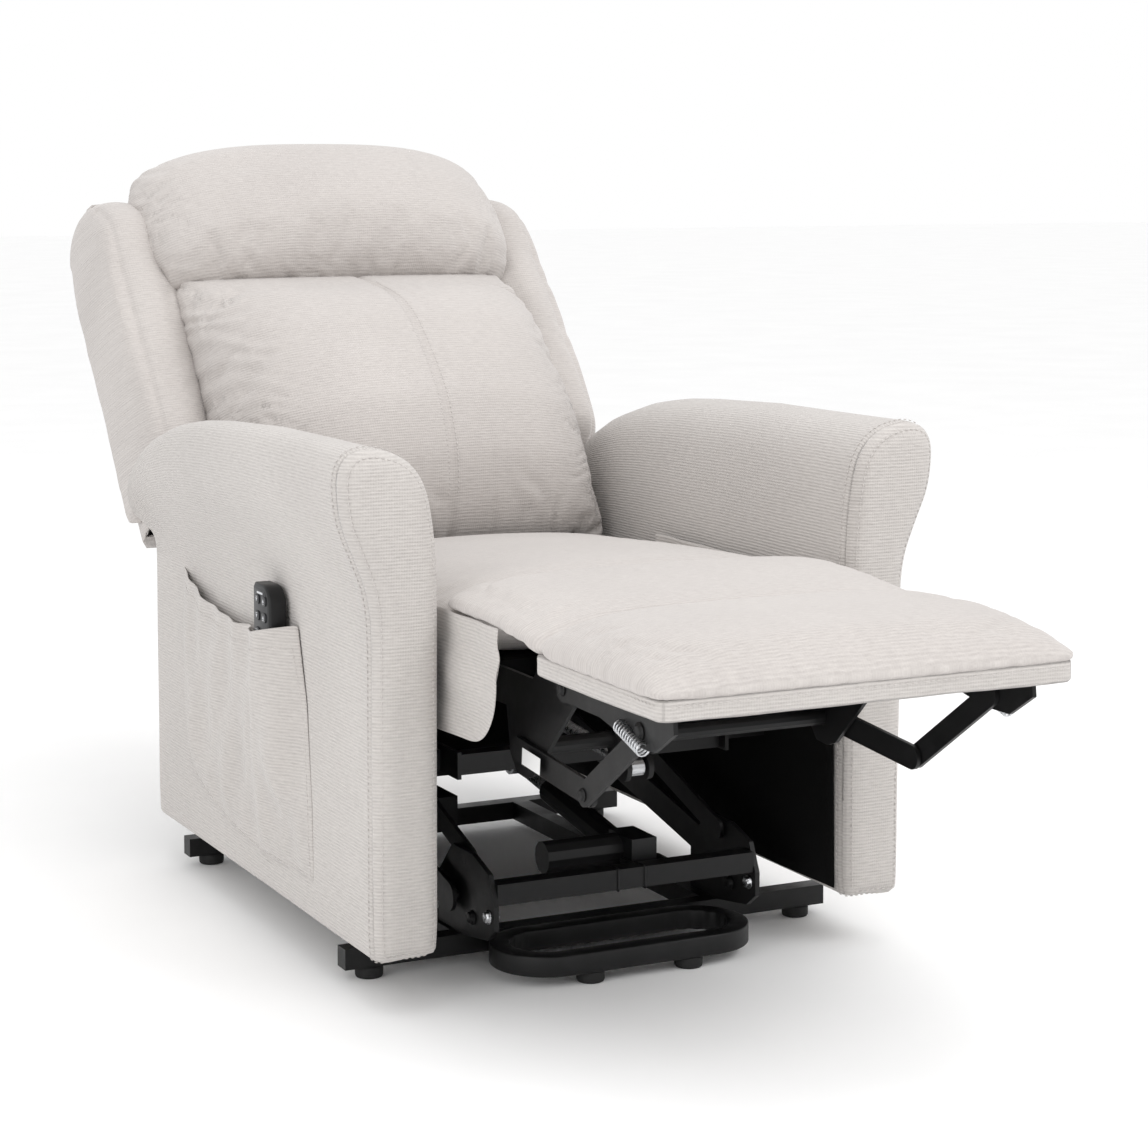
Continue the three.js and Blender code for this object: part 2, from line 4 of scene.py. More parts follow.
import bmesh
import bpy
import numpy as np
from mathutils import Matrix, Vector, noise
from mathutils.bvhtree import BVHTree


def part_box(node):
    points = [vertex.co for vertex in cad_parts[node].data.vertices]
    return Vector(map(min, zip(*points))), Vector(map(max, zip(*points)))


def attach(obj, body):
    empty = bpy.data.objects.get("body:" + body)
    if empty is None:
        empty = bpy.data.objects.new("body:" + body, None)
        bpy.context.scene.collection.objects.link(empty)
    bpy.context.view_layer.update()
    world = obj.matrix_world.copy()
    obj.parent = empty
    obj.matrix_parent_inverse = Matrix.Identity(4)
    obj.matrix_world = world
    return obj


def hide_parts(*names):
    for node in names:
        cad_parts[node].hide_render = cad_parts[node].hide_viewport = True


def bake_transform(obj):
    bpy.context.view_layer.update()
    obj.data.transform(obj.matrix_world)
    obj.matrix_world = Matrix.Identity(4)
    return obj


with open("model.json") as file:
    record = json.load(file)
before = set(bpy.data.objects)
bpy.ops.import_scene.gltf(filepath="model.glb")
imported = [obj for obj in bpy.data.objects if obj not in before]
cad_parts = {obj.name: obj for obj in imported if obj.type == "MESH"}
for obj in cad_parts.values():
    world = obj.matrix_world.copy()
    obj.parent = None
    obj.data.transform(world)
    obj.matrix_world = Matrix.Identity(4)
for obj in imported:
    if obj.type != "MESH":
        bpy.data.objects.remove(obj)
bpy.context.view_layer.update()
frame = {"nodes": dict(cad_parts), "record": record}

# Lengths in this script are millimetres in the chair's own layout, whose Y starts 394.7 mm behind the
# front of the arms. place() turns them into metres in the frame.
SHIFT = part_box("arm_left")[0].y + 0.3947
SIDES = (("right", -1), ("left", 1))
SEED = 7


def place(points):
    """Layout millimetres to frame metres."""
    out = np.array(points, float).reshape(-1, 3) / 1000
    out[:, 1] += SHIFT
    return out


def layout(points):
    """Frame metres to layout millimetres."""
    out = np.array(points, float).reshape(-1, 3).copy()
    out[:, 1] -= SHIFT
    return out * 1000


def node_box(name):
    """Lowest and highest corner of a CAD node, in layout millimetres."""
    low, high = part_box(name)
    return layout([low, high])


# ---- camera, light and floor ----

def look_from(location, azimuth, pitch, lens, shift):
    """The photograph's camera: its place in metres, its turn and dip in degrees, and its lens in mm."""
    data = bpy.data.cameras.new("camera")
    data.lens = lens
    data.shift_x, data.shift_y = shift
    camera = bpy.data.objects.new("camera", data)
    camera.location = location
    camera.rotation_euler = (math.radians(90 - pitch), 0, math.radians(azimuth))
    bpy.context.scene.collection.objects.link(camera)
    bpy.context.scene.camera = camera


def area_light(name, location, target, size, power):
    data = bpy.data.lights.new(name, "AREA")
    data.energy = power
    data.size = size
    light = bpy.data.objects.new(name, data)
    light.location = location
    light.rotation_euler = (Vector(target) - Vector(location)).to_track_quat("-Z", "Y").to_euler()
    bpy.context.scene.collection.objects.link(light)


def studio():
    scene = bpy.context.scene
    scene.view_settings.view_transform = "Standard"
    look_from(location=(-1.4665, -3.1694 + SHIFT, 0.9682), azimuth=-26.235, pitch=5.072, lens=84.78,
              shift=(0.0019, -0.1531))
    world = bpy.data.worlds.new("studio")
    scene.world = world
    world.use_nodes = True
    background = world.node_tree.nodes["Background"]
    background.inputs["Color"].default_value = (1, 1, 1, 1)
    background.inputs["Strength"].default_value = 1.0
    middle = (0, 0, 0.5)
    area_light("key", (1.7, -2.6, 2.9), middle, 2.0, 42)
    area_light("top", (-0.2, -0.4, 3.4), middle, 2.4, 22)
    area_light("fill", (-2.8, -1.9, 1.3), middle, 1.8, 20)
    bpy.ops.mesh.primitive_plane_add(size=60, location=(0, 0, 0))
    floor = bpy.context.object
    floor.name = "floor"
    floor.data.materials.append(plain_material("floor_paint", (0.99, 0.99, 0.99), 0.9))


# ---- materials ----

class Nodes:
    """A material's node tree, with short calls to add nodes and links."""

    def __init__(self, name):
        self.material = bpy.data.materials.new(name)
        self.material.use_nodes = True
        self.tree = self.material.node_tree
        self.shader = self.tree.nodes["Principled BSDF"]

    def add(self, kind, **values):
        node = self.tree.nodes.new(kind)
        for key, value in values.items():
            setattr(node, key, value)
        return node

    def link(self, source, target):
        self.tree.links.new(source, target)

    def math(self, operation, a, b):
        node = self.add("ShaderNodeMath", operation=operation)
        for socket, value in zip(node.inputs, (a, b)):
            if isinstance(value, (int, float)):
                socket.default_value = value
            else:
                self.link(value, socket)
        return node.outputs[0]

    def wave(self, value, pitch):
        """A wave from 0 to 1 with the given pitch in metres."""
        turn = self.math("SINE", self.math("MULTIPLY", value, 2 * math.pi / pitch), 0.0)
        return self.math("MULTIPLY", self.math("ADD", turn, 1.0), 0.5)

    def noise(self, vector, scale, detail=3.0, roughness=0.55):
        node = self.add("ShaderNodeTexNoise")
        node.inputs["Scale"].default_value = scale
        node.inputs["Detail"].default_value = detail
        node.inputs["Roughness"].default_value = roughness
        self.link(vector, node.inputs["Vector"])
        return node.outputs["Fac"]

    def stretch(self, vector, scale):
        node = self.add("ShaderNodeMapping")
        node.inputs["Scale"].default_value = scale
        self.link(vector, node.inputs["Vector"])
        return node.outputs["Vector"]

    def ramp(self, factor, *stops):
        node = self.add("ShaderNodeValToRGB")
        while len(node.color_ramp.elements) < len(stops):
            node.color_ramp.elements.new(0.5)
        for element, (position, colour) in zip(node.color_ramp.elements, stops):
            element.position = position
            element.color = (*colour, 1)
        self.link(factor, node.inputs["Fac"])
        return node.outputs["Color"]

    def bump(self, height, distance, strength):
        node = self.add("ShaderNodeBump")
        node.inputs["Distance"].default_value = distance
        node.inputs["Strength"].default_value = strength
        self.link(height, node.inputs["Height"])
        self.link(node.outputs["Normal"], self.shader.inputs["Normal"])

    def finish(self, values):
        """Sets the shader's inputs by name."""
        for name, value in values.items():
            self.shader.inputs[name].default_value = value

    def paint(self, factor, *stops):
        """The base colour, from a ramp of stops."""
        self.link(self.ramp(factor, *stops), self.shader.inputs["Base Color"])

    def object_place(self):
        return self.add("ShaderNodeTexCoord").outputs["Object"]


RIB_PITCH, THREAD_PITCH = 0.0040, 0.0031  # metres


def plain_material(name, colour, roughness):
    """A matt painted surface with a faint mottle."""
    n = Nodes(name)
    n.finish({"Roughness": roughness})
    darker = tuple(c * 0.97 for c in colour)
    n.paint(n.noise(n.object_place(), 3.0), (0.3, darker), (0.7, colour))
    return n.material


def chenille(name, light, shade, rib_depth=1.0):
    """Ribbed chenille: ribs along the cloth's first direction, streaky pile and a fine cross weave. Painted
    shade darkens the rib grooves.
    """
    n = Nodes(name)
    n.finish({"Roughness": 0.92, "Sheen Weight": 0.25, "Sheen Roughness": 0.5, "Specular IOR Level": 0.2})
    cloth = n.add("ShaderNodeAttribute", attribute_name="weave").outputs["Vector"]
    parts = n.add("ShaderNodeSeparateXYZ")
    n.link(cloth, parts.inputs[0])
    wander = n.math("MULTIPLY", n.noise(n.stretch(cloth, (14, 60, 1)), 1.0, 2.0), 0.0022)
    across = n.math("ADD", parts.outputs["Y"], wander)
    rib = n.wave(across, RIB_PITCH)
    thread = n.wave(parts.outputs["X"], THREAD_PITCH)
    streak = n.noise(n.stretch(cloth, (70, 420, 1)), 1.0, 4.0, 0.65)
    broad = n.noise(n.object_place(), 5.0, 2.0)
    height = n.math("ADD", n.math("MULTIPLY", rib, 0.3 * rib_depth), n.math("MULTIPLY", streak, 0.85))
    height = n.math("ADD", height, n.math("MULTIPLY", thread, 0.14))
    n.bump(height, 0.0011, 0.75)
    fleck = n.noise(n.stretch(cloth, (260, 900, 1)), 1.0, 3.0, 0.7)
    # Painted shade: the tone follows the ribs, so each rib groove is painted darker, more so on deeper ribs.
    tone = n.math("ADD", n.math("MULTIPLY", rib, 0.10 * rib_depth), n.math("MULTIPLY", streak, 0.50))
    mottle = n.math("ADD", n.math("MULTIPLY", broad, 0.18), n.math("MULTIPLY", fleck, 0.34))
    tone = n.math("ADD", tone, mottle)
    n.paint(tone, (0.32, shade), (0.78, light))
    return n.material


def black_cloth(name):
    """Thin black lining with a felted surface."""
    n = Nodes(name)
    n.finish({"Roughness": 1.0, "Specular IOR Level": 0.1})
    felt = n.noise(n.object_place(), 700, 4.0, 0.7)
    n.paint(felt, (0.3, (0.003,) * 3), (0.75, (0.009,) * 3))
    n.bump(felt, 0.0004, 0.5)
    return n.material


def powder_coat(name, colour, shine):
    """Black paint baked on steel: a fine orange peel and slightly rubbed, lighter wear."""
    n = Nodes(name)
    spot = n.object_place()
    peel = n.noise(spot, 900, 2.0)
    wear = n.noise(spot, 28, 5.0, 0.7)
    lighter = tuple(c * 2.2 + 0.002 for c in colour)
    n.paint(wear, (0.45, colour), (0.85, lighter))
    rough = n.ramp(wear, (0.3, (shine,) * 3), (0.8, (shine + 0.2,) * 3))
    n.link(rough, n.shader.inputs["Roughness"])
    n.finish({"Specular IOR Level": 0.3})
    n.bump(peel, 0.0003, 0.35)
    return n.material


def moulded(name, colour, roughness, grain=1400):
    """Moulded plastic or rubber with a fine spark-eroded grain."""
    n = Nodes(name)
    fine = n.noise(n.object_place(), grain, 2.0)
    lighter = tuple(min(1, c * 1.25 + 0.002) for c in colour)
    n.paint(fine, (0.3, colour), (0.8, lighter))
    n.finish({"Roughness": roughness, "Specular IOR Level": 0.35})
    n.bump(fine, 0.0002, 0.4)
    return n.material


def zinc_plate(name):
    """Bright zinc with a faint brushed cloud."""
    n = Nodes(name)
    n.finish({"Metallic": 1.0})
    cloud = n.noise(n.stretch(n.object_place(), (1, 6, 6)), 60, 4.0)
    n.paint(cloud, (0.3, (0.42, 0.43, 0.45)), (0.8, (0.75, 0.76, 0.77)))
    n.link(n.ramp(cloud, (0.3, (0.22,) * 3), (0.8, (0.42,) * 3)), n.shader.inputs["Roughness"])
    return n.material


MATERIALS = {
    "cloth": chenille("cloth", (0.60, 0.565, 0.54), (0.40, 0.37, 0.355)),
    "cloth_ribbed": chenille("cloth_ribbed", (0.585, 0.555, 0.53), (0.38, 0.355, 0.34), 1.6),
    "thread": plain_material("thread", (0.55, 0.52, 0.50), 0.8),
    "lining": black_cloth("lining"),
    "steel": powder_coat("steel", (0.004, 0.004, 0.0043), 0.36),
    "zinc": zinc_plate("zinc"),
    "rubber": moulded("rubber", (0.010, 0.010, 0.010), 0.75, 600),
    "plastic": moulded("plastic", (0.005, 0.005, 0.0055), 0.42),
    "key": moulded("key", (0.009, 0.0095, 0.011), 0.35),
    "icon": plain_material("icon", (0.55, 0.56, 0.58), 0.5),
    "label": plain_material("label", (0.75, 0.75, 0.74), 0.6),
}


# ---- mesh helpers ----

def make(name, points, faces, material):
    """A mesh object from layout millimetres."""
    mesh = bpy.data.meshes.new(name)
    mesh.from_pydata([tuple(p) for p in place(points)], [], faces)
    mesh.update()
    piece = bpy.data.objects.new(name, mesh)
    bpy.context.scene.collection.objects.link(piece)
    piece.data.materials.append(MATERIALS[material])
    tidy(piece)
    return piece


def tidy(piece):
    """Merges doubled points, turns faces outward and shades them smooth."""
    merge = 1e-5
    bm = bmesh.new()
    bm.from_mesh(piece.data)
    bmesh.ops.remove_doubles(bm, verts=bm.verts, dist=merge)
    bmesh.ops.dissolve_degenerate(bm, edges=bm.edges, dist=merge)
    bmesh.ops.recalc_face_normals(bm, faces=bm.faces)
    for face in bm.faces:
        face.smooth = True
    bm.to_mesh(piece.data)
    bm.free()


def apply(piece, kind, **values):
    """Adds a modifier and applies it."""
    modifier = piece.modifiers.new(kind, kind)
    for key, value in values.items():
        setattr(modifier, key, value)
    bake(piece)


def bake(piece):
    """Makes the mesh what its modifiers give, and removes them."""
    graph = bpy.context.evaluated_depsgraph_get()
    mesh = bpy.data.meshes.new_from_object(piece.evaluated_get(graph))
    piece.modifiers.clear()
    piece.data = mesh


def grid_faces(rows, columns, start=0, around=False):
    """Faces between the rows of a grid of points. With around, the last column joins the first."""
    faces = []
    last = columns if around else columns - 1
    for r in range(rows - 1):
        for c in range(last):
            d = (c + 1) % columns
            faces.append((start + r * columns + c, start + r * columns + d,
                          start + (r + 1) * columns + d, start + (r + 1) * columns + c))
    return faces


def surface(name, grid, material, thickness):
    """An open sheet from a rows x columns x 3 grid, with half its thickness on each side."""
    rows, columns = grid.shape[:2]
    piece = make(name, grid, grid_faces(rows, columns), material)
    apply(piece, "SOLIDIFY", thickness=thickness / 1000, offset=0)
    return piece


def pillow(name, front, back, material):
    """A closed body from two grids that share their border."""
    rows, columns = front.shape[:2]
    points = np.concatenate([front.reshape(-1, 3), back.reshape(-1, 3)])
    faces = grid_faces(rows, columns) + [f[::-1] for f in grid_faces(rows, columns, rows * columns)]
    return make(name, points, faces, material)


def tube(name, rings, material):
    """A closed body through closed rings, with flat ends."""
    count, around = rings.shape[:2]
    faces = grid_faces(count, around, around=True)
    faces.append(tuple(range(around))[::-1])
    faces.append(tuple((count - 1) * around + i for i in range(around)))
    return make(name, rings.reshape(-1, 3), faces, material)


def smooth_closed(points, per_span):
    """A closed Catmull-Rom curve through 2-D points."""
    p = np.array(points, float)
    out = []
    for i in range(len(p)):
        a, b, c, d = p[i - 1], p[i], p[(i + 1) % len(p)], p[(i + 2) % len(p)]
        for k in range(per_span):
            u = k / per_span
            out.append(0.5 * (2 * b + (c - a) * u + (2 * a - 5 * b + 4 * c - d) * u ** 2
                              + (3 * b - a - 3 * c + d) * u ** 3))
    return np.array(out)


def rounded(x_range, y_range, radius, count, inset=0):
    """A rectangle's outline with count points on each round corner, drawn in by inset at the corners."""
    (x0, x1), (y0, y1) = x_range, y_range
    reach = radius - inset
    points = []
    for cx, cy, start in ((x1 - radius, y1 - radius, 0), (x0 + radius, y1 - radius, 90),
                          (x0 + radius, y0 + radius, 180), (x1 - radius, y0 + radius, 270)):
        for angle in np.radians(start + np.linspace(0, 90, count)):
            points.append((cx + reach * math.cos(angle), cy + reach * math.sin(angle)))
    return points


def on_surface(piece, line, direction):
    """Where a line of layout points meets a piece, looking along a direction."""
    mesh = piece.data
    tree = BVHTree.FromPolygons([v.co for v in mesh.vertices], [f.vertices for f in mesh.polygons])
    ray = Vector(direction).normalized()
    hits = [tree.ray_cast(Vector(p) - ray * 0.4, ray)[0] for p in place(line)]
    return layout([h for h in hits if h is not None])


def inward(ring):
    """Unit directions that point into a closed 2-D ring."""
    along = np.roll(ring, -1, 0) - np.roll(ring, 1, 0)
    side = np.stack([-along[:, 1], along[:, 0]], 1)
    side /= np.linalg.norm(side, axis=1)[:, None]
    x, z = ring[:, 0], ring[:, 1]
    area = np.sum(x * np.roll(z, -1) - np.roll(x, -1) * z)
    return side if area > 0 else -side


def to_border(points, ring):
    """Distance of 2-D points from a closed ring."""
    a = ring[None]
    b = np.roll(ring, -1, 0)[None]
    p = points[:, None]
    u = np.clip(np.sum((p - a) * (b - a), 2) / np.maximum(np.sum((b - a) ** 2, 2), 1e-9), 0, 1)
    return np.linalg.norm(p - (a + (b - a) * u[..., None]), axis=2).min(1)


def ease(value):
    v = np.clip(value, 0, 1)
    return v * v * (3 - 2 * v)


def per_point(piece, kind):
    out = np.empty(len(piece.data.vertices) * 3)
    piece.data.vertices.foreach_get(kind, out)
    return out.reshape(-1, 3)


def coordinates(piece):
    return per_point(piece, "co")


def normals(piece):
    return per_point(piece, "normal")


def move(piece, offsets):
    piece.data.vertices.foreach_set("co", (coordinates(piece) + offsets).ravel())
    piece.data.update()


def press(piece, distance, depth, width):
    """Presses a sewn channel into a piece: distance (mm) from the seam for each point."""
    amount = depth / 1000 * np.exp(-(distance / width) ** 2)
    move(piece, -normals(piece) * amount[:, None])


def gather(piece, distance, along, depth, reach, pitch):
    """Short pleats that run away from a seam: distance from it and place along it, in mm."""
    drift = np.array([noise.noise(Vector((a / 70, d / 60, SEED))) for a, d in zip(along, distance)])
    pleat = 0.5 + 0.5 * np.sin(2 * math.pi * along / pitch + 11 * drift + distance / 26)
    strength = np.clip(0.65 + 1.4 * np.roll(drift, 7), 0, 1.2)
    amount = depth / 1000 * pleat * strength * np.exp(-(np.maximum(distance, 0) / reach) ** 2)
    move(piece, -normals(piece) * amount[:, None])


def ripple(piece, amount, scale, stretch=(1, 1, 1)):
    """Slack in the cloth: soft seeded waves along the normals, in mm."""
    co = coordinates(piece) * np.array(stretch) * scale + SEED
    wave = np.array([noise.noise(Vector(c)) for c in co])
    move(piece, normals(piece) * (wave * amount / 1000)[:, None])


def weave(piece, directions):
    """Stores where each point lies on its flat cloth, in metres, for the fabric's ribs."""
    flat = directions(layout(coordinates(piece)), normals(piece)) / 1000
    data = np.concatenate([flat, np.zeros((len(flat), 1))], 1).astype(np.float32)
    attribute = piece.data.attributes.new("weave", "FLOAT_VECTOR", "POINT")
    attribute.data.foreach_set("vector", data.ravel())


def stitches(name, lines):
    """Sewing thread along lines: one short raised stitch after another, all in one piece."""
    pitch, length, radius, sides = 7.5, 4.6, 0.75, 5
    points, faces = [], []
    for line in lines:
        line = np.array(line, float)
        steps = np.linalg.norm(np.diff(line, axis=0), axis=1)
        total = np.concatenate([[0], np.cumsum(steps)])
        for start in np.arange(pitch / 2, total[-1] - length, pitch):
            ends = [np.array([np.interp(at, total, line[:, k]) for k in range(3)])
                    for at in (start, start + length)]
            along = ends[1] - ends[0]
            along /= np.linalg.norm(along) + 1e-9
            side = np.cross(along, (0.31, 0.52, 0.79))
            side /= np.linalg.norm(side)
            lift = np.cross(along, side)
            first = len(points)
            for share, grow in ((0, 0.25), (0.3, 1), (0.7, 1), (1, 0.25)):
                middle = ends[0] * (1 - share) + ends[1] * share
                for k in range(sides):
                    angle = 2 * math.pi * k / sides
                    points.append(middle + radius * grow * (side * math.cos(angle) + lift * math.sin(angle)))
            faces += grid_faces(4, sides, first, around=True)
            faces.append(tuple(first + k for k in range(sides))[::-1])
            faces.append(tuple(first + 3 * sides + k for k in range(sides)))
    return make(name, points, faces, "thread")


def upholster(piece, directions, node, body):
    """Lays the fabric on a padded piece that stands for a CAD node and rides on a body."""
    weave(piece, directions)
    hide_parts(node)
    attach(piece, body)


# ---- cloth simulation ----

CUSHIONS = []
FRAMES = 18
CLOTH = {"quality": 4, "mass": 0.15, "tension_stiffness": 15, "compression_stiffness": 15,
         "shear_stiffness": 5, "bending_stiffness": 0.4, "use_pressure": True, "uniform_pressure_force": 4}


def stuff(piece, cap, voxel=6.5, slack=0.03, hold=None):
    """Books a cushion for the simulation: how far its points may move and its voxel size, in mm, and
    how much its cloth grows. hold gives, for layout points, how firmly a seam holds them."""
    CUSHIONS.append({"piece": piece, "cap": cap, "voxel": voxel, "slack": slack, "hold": hold})


def simulate():
    """Inflates every booked cushion together, and keeps each point near where it started."""
    for cushion in CUSHIONS:
        piece = cushion["piece"]
        apply(piece, "REMESH", mode="VOXEL", voxel_size=cushion["voxel"] / 1000, use_smooth_shade=True)
        apply(piece, "SMOOTH", factor=0.5, iterations=3)
    for cushion in CUSHIONS:
        piece, hold = cushion["piece"], cushion["hold"]
        cushion["start"] = coordinates(piece)
        cloth = piece.modifiers.new("cloth", "CLOTH")
        settings = cloth.settings
        for key, value in CLOTH.items():
            setattr(settings, key, value)
        settings.shrink_min = -cushion["slack"]
        settings.effector_weights.gravity = 0
        cloth.collision_settings.use_collision = False
        cloth.point_cache.frame_start = 1
        cloth.point_cache.frame_end = FRAMES
        if hold:
            group = piece.vertex_groups.new(name="hold")
            for index, value in enumerate(np.clip(hold(layout(cushion["start"])), 0, 1)):
                if value > 0.01:
                    group.add([index], float(value), "REPLACE")
            settings.vertex_group_mass = "hold"
    for number in range(1, FRAMES + 1):
        bpy.context.scene.frame_set(number)
    graph = bpy.context.evaluated_depsgraph_get()
    for cushion in CUSHIONS:
        piece, start = cushion["piece"], cushion["start"]
        shown = piece.evaluated_get(graph).to_mesh()
        end = np.empty(len(start) * 3)
        shown.vertices.foreach_get("co", end)
        path = end.reshape(-1, 3) - start
        length = np.linalg.norm(path, axis=1)
        limit = cushion["cap"] / 1000
        share = limit * np.tanh(length / limit) / np.maximum(length, 1e-9)
        piece.evaluated_get(graph).to_mesh_clear()
        piece.modifiers.clear()
        piece.vertex_groups.clear()
        move(piece, path * share[:, None])
        apply(piece, "SMOOTH", factor=0.4, iterations=1)
    bpy.context.scene.frame_set(1)


def finish_cushion(piece):
    apply(piece, "SUBSURF", levels=1, render_levels=1)
    for face in piece.data.polygons:
        face.use_smooth = True


# ---- arms ----

ARM_LOW, ARM_HIGH = node_box("arm_left")
ARM_FRONT, ARM_REAR = ARM_LOW[1], ARM_HIGH[1]
ARM_TOP = ARM_HIGH[2]
ROLL_START = 430  # height where the arm starts to flare
ARM_SECTION = smooth_closed([
    (277, 64), (312, 62), (344, 63), (350, 90), (350, 200), (350, 330), (350, 430), (355, 480),
    (369, 520), (385, 560), (391, 595), (390, 622), (380, 640), (362, 648), (340, 647), (316, 639),
    (297, 624), (284, 602), (276, 568), (271, 520), (269, 450), (269, 300), (269, 150), (270, 85)], 4)


def arm_top(y):
    """Height of the arm's top along its length."""
    return np.interp(y, [-395, -88, 75, 150, 222, 300, 350, 385, 406],
                     [648, 645, 637, 631, 621, 601, 578, 545, 505])


def lowered(z, y):
    """Heights of the front section, brought down where the arm's top falls away."""
    shrunk = ROLL_START + (z - ROLL_START) * (arm_top(y) - ROLL_START) / (ARM_TOP - ROLL_START)
    return np.where(z > ROLL_START, shrunk, z)


def arm_section(y, inset=0):
    ring = ARM_SECTION + inward(ARM_SECTION) * inset
    return np.stack([ring[:, 0], np.full(len(ring), y), lowered(ring[:, 1], y)], 1)


def arm(word, side):
    rounding = 24
    rings = [arm_section(ARM_FRONT + behind, inset) for behind, inset in ((0.5, 5), (1.5, 2.2), (5, 0.4))]
    rings += [arm_section(y) for y in np.linspace(ARM_FRONT + 12, ARM_REAR - rounding, 40)]
    for angle in np.linspace(0.2, 1, 6) * math.pi / 2:
        y = ARM_REAR - rounding + rounding * math.sin(angle)
        rings.append(arm_section(y, rounding * (1 - math.cos(angle))))
    piece = tube(f"arm_cover_{word}", np.array(rings) * (side, 1, 1), "cloth_ribbed")
    ripple(piece, 1.5, 5.5, (1, 0.6, 1))
    around = np.cumsum(np.linalg.norm(np.diff(ARM_SECTION, axis=0, prepend=ARM_SECTION[:1]), axis=1))

    def flat(points, _):
        near = np.abs(points[:, :1] * side - ARM_SECTION[None, :, 0])
        near = near + np.abs(points[:, 2:] - lowered(ARM_SECTION[None, :, 1], points[:, 1:2]))
        best = near.argmin(1)
        tangent = np.roll(ARM_SECTION, -1, 0) - np.roll(ARM_SECTION, 1, 0)
        tangent /= np.linalg.norm(tangent, axis=1)[:, None]
        upright = (np.abs(tangent[best, 1]) > 0.9) * (points[:, 2] < ROLL_START)
        extra = (points[:, 0] * side - ARM_SECTION[best, 0]) * tangent[best, 0]
        extra += (points[:, 2] - ARM_SECTION[best, 1]) * tangent[best, 1] * upright
        return np.stack([points[:, 1], around[best] + extra], 1)

    upholster(piece, flat, f"arm_{word}", "chair_frame")
    arm_front(word, side)


def panel_bulge(points, ring):
    """How far the front panel stands proud, for [x, z] points inside its border."""
    edge = np.clip(to_border(points, ring) / 26, 0, 1)
    crown = np.sqrt(np.clip(1 - (1 - edge) ** 2, 0, 1))
    return crown * (13 + 8 * ease((points[:, 1] - 380) / 200))


def arm_front(word, side):
    """The sewn panel on the arm's front, and the stitching round it."""
    ring = ARM_SECTION + inward(ARM_SECTION) * 1.2
    low, high = ring[:, 1].min(), ring[:, 1].max()
    rows, columns = 90, 25
    shares = 0.5 - 0.5 * np.cos(np.linspace(0, math.pi, rows))
    heights = low + 0.2 + (high - low - 0.4) * (0.75 * np.linspace(0, 1, rows) + 0.25 * shares)
    grid = np.zeros((rows, columns, 3))
    for r, z in enumerate(heights):
        crossing = []
        for a, b in zip(ring, np.roll(ring, -1, 0)):
            if (a[1] - z) * (b[1] - z) <= 0 and a[1] != b[1]:
                crossing.append(a[0] + (b[0] - a[0]) * (z - a[1]) / (b[1] - a[1]))
        across = 0.5 - 0.5 * np.cos(np.linspace(0, math.pi, columns))
        grid[r, :, 0] = min(crossing) + (max(crossing) - min(crossing)) * across
        grid[r, :, 2] = z
    flat = grid.reshape(-1, 3)
    front = flat.copy()
    front[:, 1] = ARM_FRONT - 0.4 - panel_bulge(flat[:, [0, 2]], ring)
    back = flat.copy()
    back[:, 1] = ARM_FRONT - 0.4
    mirror = np.array((side, 1, 1))
    piece = pillow(f"arm_front_cover_{word}", (front * mirror).reshape(rows, columns, 3),
                   (back * mirror).reshape(rows, columns, 3), "cloth_ribbed")
    ripple(piece, 1.6, 9, (1, 1, 0.5))
    upholster(piece, lambda p, _: p[:, [0, 2]], f"arm_front_{word}", "chair_frame")

    inner = ring + inward(ring) * 8
    sewn = np.stack([inner[:, 0], ARM_FRONT - 1.0 - panel_bulge(inner, ring), inner[:, 1]], 1)
    outer = arm_section(ARM_FRONT + 8)
    outer[:, [0, 2]] += (ring - ARM_SECTION) * -0.9
    loops = [np.concatenate([line, line[:1]]) * mirror for line in (sewn, outer)]
    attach(stitches(f"arm_stitching_{word}", loops), "chair_frame")


def arm_lining(word, side):
    """Black cloth on the arm's inner face, below the seat."""
    Y, Z = np.meshgrid(np.linspace(ARM_FRONT + 14, ARM_REAR - 14, 40), np.linspace(72, 425, 24))
    grid = np.stack([side * (266.6 - 1.6 * np.sin(Y / 47 + Z / 90)), Y, Z], 2)
    piece = surface(f"arm_lining_{word}", grid, "lining", 1.2)
    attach(piece, "chair_frame")


# ---- seat, chaise and footrest ----

HINGE_Y, HINGE_Z = -612, 404  # the footrest's hinge, as in the part's source
CREASE_Y = -622  # where the chaise pad is sewn across


def crowded(count, share):
    """Steps from -1 to 1 that crowd together towards both ends, more so as share nears 1."""
    return np.sin(np.linspace(-1, 1, count) * math.pi / 2 * share) / math.sin(math.pi / 2 * share)


def crowned(half_width, y_range, top, edge, bottom, rows=46, columns=44, squareness=5.0):
    """Front and back grids of a flat-lying cushion. top, edge and bottom give heights along Y."""
    v = np.linspace(0, 1, rows)
    y = y_range[0] + (y_range[1] - y_range[0]) * (0.5 - 0.5 * np.cos(v * math.pi))
    U, Y = np.meshgrid(crowded(columns, 0.985), y)
    V = (Y - y_range[0]) / (y_range[1] - y_range[0]) * 2 - 1
    across = (1 - np.abs(U) ** squareness) ** (1 / 2.2)
    along = (1 - np.abs(V) ** 9) ** (1 / 2.2)
    lift = across * np.clip(along, 0, 1)
    X = U * half_width(Y)
    front = np.stack([X, Y, edge(Y) + (top(X, Y) - edge(Y)) * lift], 2)
    back = np.stack([X, Y, edge(Y) + (bottom(Y) - edge(Y)) * lift], 2)
    return front, back


def seat_cushion():
    underside = node_box("seat_cushion")[0][2] + 1

    def top(x, y):
        crest = np.interp(y, [-400, -330, -150, 20, 165], [484, 489, 480, 466, 456])
        return crest - 16 * (np.abs(x) / 254) ** 2

    def seam(p):
        return ease((14 - np.abs(p[:, 2] - 440)) / 9) * (np.abs(p[:, 0]) > 225)

    front, back = crowned(lambda y: 253 + 0 * y, (-398, 172), top,
                          lambda y: np.interp(y, [-400, 172], [444, 432]),
                          lambda y: underside + 0 * y)
    piece = pillow("seat_cushion_cover", front, back, "cloth")
    stuff(piece, cap=7, slack=0.02, hold=seam)
    return piece


